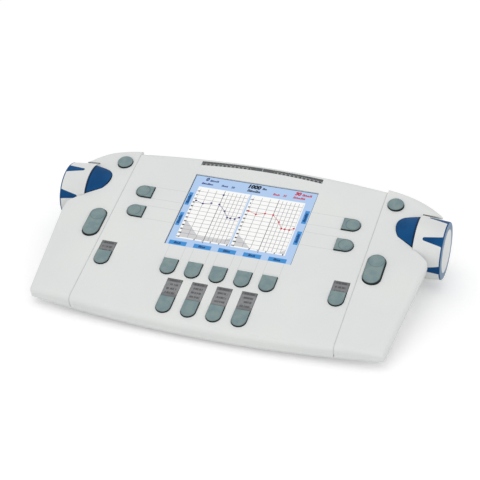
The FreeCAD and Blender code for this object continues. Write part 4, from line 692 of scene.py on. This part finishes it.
def silicone(name, radius, *spots):
    """Key rubber with a dished pad at each spot, given as x, y and depth of its crease; the crease
    and the key's walls are darkened with painted shade.
    """
    soft = Finish(name, IOR=1.42, Specular_IOR_Level=0.35)
    spot = soft.place()
    x, y, z = soft.axes(spot)
    dish, ring = 1.0, 0.0
    for cx, cy, crease in spots:
        away = ((x - cx) ** 2 + (y - cy) ** 2) ** 0.5
        dish = away.rise(radius * 0.25, radius) * dish
        ring = away.near(radius, 0.2, 0.3) * crease | ring
    tone = soft.mix(soft.noise(spot, 0.16, 3).rise(0.35, 0.65), KEY, KEY_CLOUD)
    # The crease round each pad is darkened as painted shade, over its relief in the bump.
    tone = soft.mix(ring, tone, KEY_PAINTED_SHADE)
    grain = soft.bump(soft.noise(spot, 2.8, 2), 0.00001)
    soft.wear(
        # The walls below the rounded top edge are darkened as painted shade.
        Base_Color=soft.mix(1 - z.rise(1.1, 1.58), tone, KEY_PAINTED_SHADE),
        Roughness=0.55 + 0.12 * soft.noise(spot, 0.5, 3),
        Normal=soft.bump(dish - ring * 0.35, 0.00045, grain),
    )
    return soft


for i in range(5):
    name = f"soft_key_{i + 1}"
    dress(silicone(name + "_rubber", PAD, (KEY_PITCH * (i - 2), -71.0, 0.16)), name)
for i in range(4):
    name = f"select_key_{i + 1}"
    dress(silicone(name + "_rubber", PAD, (KEY_PITCH * (i - 1.5), -112.6, 0.16)), name)
for side, hand in ((-1, "left"), (1, "right")):
    for i, level in enumerate((11.8, -12.5)):
        name = f"{hand}_side_key_{i + 1}"
        dress(silicone(name + "_rubber", 6.0, (98.4 * side, level, 0.6)), name)
    dress(silicone(hand + "_mode_rubber", PAD, (106.6 * side, -72.9, 0.16)), hand + "_mode_key")
    dress(silicone(hand + "_round_rubber", 6.0, (128.9 * side, 43.8, 0.12)), hand + "_round_key")
    dress(silicone(hand + "_rocker_rubber", 6.8,
                   (129.2 * side, -24.4, 0.55), (129.2 * side, -42.6, 0.14)),
          hand + "_rocker_key")

# ------------------------------------------------------------------ label windows
# Smoked film windows over paper labels, bonded into the cover above their keys; the
# legends are too small to read.
WINDOW_REAR, MODE_REAR = 81.4, 52.6
MODE_X = 106.6
LEGEND_PITCH = 4.6

film = Finish("label_film", IOR=1.5, Specular_IOR_Level=0.3)
place = film.place()
x, y = film.axes(place)[:2]
outer = abs(x).rise(80, 81)
down = (WINDOW_REAR - MODE_REAR) * outer - y - WINDOW_REAR
# The legends: noise drawn out into letters, cut into rows and one column for each key.
letters = film.node("ShaderNodeCombineXYZ", {}, (x * 1.15, down // LEGEND_PITCH * 3.7, 0))
off_key = abs((x + KEY_PITCH) % KEY_PITCH - KEY_PITCH / 2) * (1 - outer)
column = (off_key + abs(abs(x) - MODE_X) * outer).near(0, 4.6, 0.3)
row = (down % LEGEND_PITCH).within(0.9, 3.0, 0.3)
legend = film.noise(letters, 1.0, 2).rise(0.40, 0.50) * row * column
paper = film.mix(film.noise(place, 0.5, 3).rise(0.35, 0.7), rgb(136, 138, 140), rgb(124, 126, 128))
# Darker along the rear edge of each window.
rear_band = (1 - down.rise(3.0, 3.8)) * 0.7
footing = down.rise(16.0, 16.6) * abs(x).rise(22, 23) * (1 - outer) * 0.5
joint = down.rise(19.2, 19.5) | down.rise(10.6, 10.9) * outer
paper = film.mix(rear_band | footing | joint | outer * 0.3, paper, rgb(92, 93, 95))
film.wear(
    Base_Color=film.mix(legend * 0.8, paper, rgb(66, 65, 68)),
    Roughness=0.40 + 0.12 * film.noise(place, 0.4),
    Normal=film.bump(film.noise(place, 1.2), 0.000005),
)
dress(film, "select_window_1", "select_window_2", "select_window_3", "select_window_4",
      "left_mode_window", "right_mode_window")

# ------------------------------------------------------------------ stimulus keys
# Two large keys of deep blue soft-touch rubber that follow the dials' taper and press in
# beside them; the dials' grips are of the same rubber.
DIAL_AXIS = (0, 0.053137, 0.033101)
LEVEL_IN, LEVEL_CONE, LEVEL_SLOPE = 135, 23.2, 0.23958
BLUE_SHADE = rgb(0, 22, 48)


def soft_touch(name, shaded):
    """Blue rubber with fine dust; the grips' end faces are painted pale as a painted reflection.
    shaded masks darker blue from the distance to the middle, the distance behind the dials'
    axis and the radius about it: painted shade on the stimulus keys, a darker tone on the grips."""
    blue = Finish(name, IOR=1.45, Specular_IOR_Level=0.15)
    place = blue.place(DIAL_AXIS)
    x, y, z = blue.axes(place)
    tone = blue.mix(blue.noise(place, 0.05, 3).rise(0.35, 0.7), rgb(6, 76, 128), rgb(2, 66, 116))
    dust = blue.noise(place, 1.6, 2).rise(0.6, 0.75) * 0.2
    tone = blue.mix(dust, tone, rgb(36, 90, 148))
    tone = blue.mix(shaded(abs(x), y, (y ** 2 + z ** 2) ** 0.5), tone, BLUE_SHADE)
    # The grips' end faces are painted pale blue-grey: a painted reflection.
    blue.wear(
        Base_Color=blue.mix(abs(x).rise(178.8, 179.2) * 0.75, tone, rgb(142, 164, 186)),
        Roughness=0.46 + 0.12 * blue.noise(place, 0.4, 3),
        Normal=blue.bump(blue.noise(place, 2.6, 2), 0.000012),
    )
    return blue


def painted_flank_shade(wide, back, radius):
    """Painted shade on the sides of a stimulus key, below its tapered top, and at its edge by the
    drum.
    """
    top = LEVEL_CONE + (wide - LEVEL_IN) * LEVEL_SLOPE
    # The painted shade is lighter towards the rear, which faces the light.
    side = (top - radius).rise(0.03, 0.35) * (1 - back.rise(2, 10) * 0.8)
    return side | wide.within(152.4, 154.1, 0.3) * 0.7


def grip_fingers(wide, back, radius):
    """The fingers of a grip, a little darker where the drum gets narrower."""
    return (26.2 - radius).rise(0, 1.5) * 0.3


dress(soft_touch("stimulus_blue", painted_flank_shade), "left_stimulus_key", "right_stimulus_key")
dress(soft_touch("grip_blue", grip_fingers), "left_dial_grip", "right_dial_grip")

# ------------------------------------------------------------------ dials
# White satin ABS drums with the blue grip moulded over them, closed by a snap-in end cap;
# each is pressed on the shaft of its encoder.
satin = Finish("dial_abs", IOR=1.5)
place = satin.place()
satin.wear(
    Base_Color=satin.mix(satin.noise(place, 0.03, 3).rise(0.35, 0.7),
                         rgb(223, 225, 223), rgb(217, 219, 218)),
    Roughness=0.30 + 0.12 * satin.noise(place, 0.09, 3),
    Normal=satin.bump(satin.noise(place, 2.2, 2), 0.000003),
)
dress(satin, "left_dial_drum", "right_dial_drum", "left_dial_cap", "right_dial_cap")

# ------------------------------------------------------------------ studio
# A white table in a white room, two large soft lamps over it and a camera over the right
# front corner of the console.
ROOM_LIGHT = 0.76
TABLE_GLOW = 0.25
AIM = Vector((0, 0, 0.03))


def seen(nodes):
    """1 for rays from the camera, and for those that gloss or glass send on."""
    rays = nodes.node("ShaderNodeLightPath", {}, ())
    return rays | rays.out("Is Glossy Ray") | rays.out("Is Transmission Ray")


world = bpy.data.worlds.new("white_room")
bpy.context.scene.world = world
world.use_nodes = True
room = Nodes(world.node_tree)
background = world.node_tree.nodes["Background"]
room.put(background.inputs["Strength"], ROOM_LIGHT + (1 - ROOM_LIGHT) * seen(room))
room.put(background.inputs["Color"], (1, 1, 1, 1))

bpy.ops.object.select_all(action="DESELECT")
bpy.ops.mesh.primitive_plane_add(size=14, location=(0, 0, 0))
floor = bpy.context.active_object
floor.name = "table_top"
table = Finish("table_white", Base_Color=(0.86, 0.86, 0.86, 1), Roughness=0.9,
               Specular_IOR_Level=0.0)
painted = Shade(table, table.shader.outputs[0])
glow = table.node("ShaderNodeEmission", {}, {"Strength": TABLE_GLOW})
near_by = table.node("ShaderNodeAddShader", {}, (painted, glow))
x, y = table.axes(table.place((0, 0, 0), 0))[:2]
white = table.node("ShaderNodeEmission", {}, {"Strength": 1.0})
bright = table.node("ShaderNodeMixShader", {},
                    (((x ** 2 + y ** 2) ** 0.5).rise(500, 900), near_by, white))
shown = table.node("ShaderNodeMixShader", {}, (seen(table), painted, bright))
table.put(table.tree.nodes["Material Output"].inputs["Surface"], shown)
floor.data.materials.append(table.material)
floor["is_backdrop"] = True


def lamp(name, spot, size, watts):
    """A square soft box aimed at the console."""
    light = bpy.data.lights.new(name, "AREA")
    light.size = size
    light.energy = watts
    holder = bpy.data.objects.new(name, light)
    holder.location = spot
    holder.rotation_euler = (AIM - Vector(spot)).to_track_quat("-Z", "Y").to_euler()
    bpy.context.scene.collection.objects.link(holder)


lamp("key_lamp", (-0.4, 0.2, 2.2), 1.6, 6.5)
lamp("fill_lamp", (0.7, -1.9, 1.0), 1.6, 8.5)

lens = bpy.data.cameras.new("camera")
lens.sensor_width = 36
lens.lens = 109.236
lens.clip_start, lens.clip_end = 0.05, 50
camera = bpy.data.objects.new("camera", lens)
right_up_back = Matrix(((0.94531, 0.32540, -0.02251),
                        (-0.16067, 0.52460, 0.83605),
                        (0.28386, -0.78671, 0.54819))).transposed()
camera.matrix_world = Matrix.Translation((0.36815, -0.99956, 0.74155)) @ right_up_back.to_4x4()
bpy.context.scene.collection.objects.link(camera)
bpy.context.scene.camera = camera
bpy.context.scene.view_settings.view_transform = "Standard"

low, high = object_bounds()
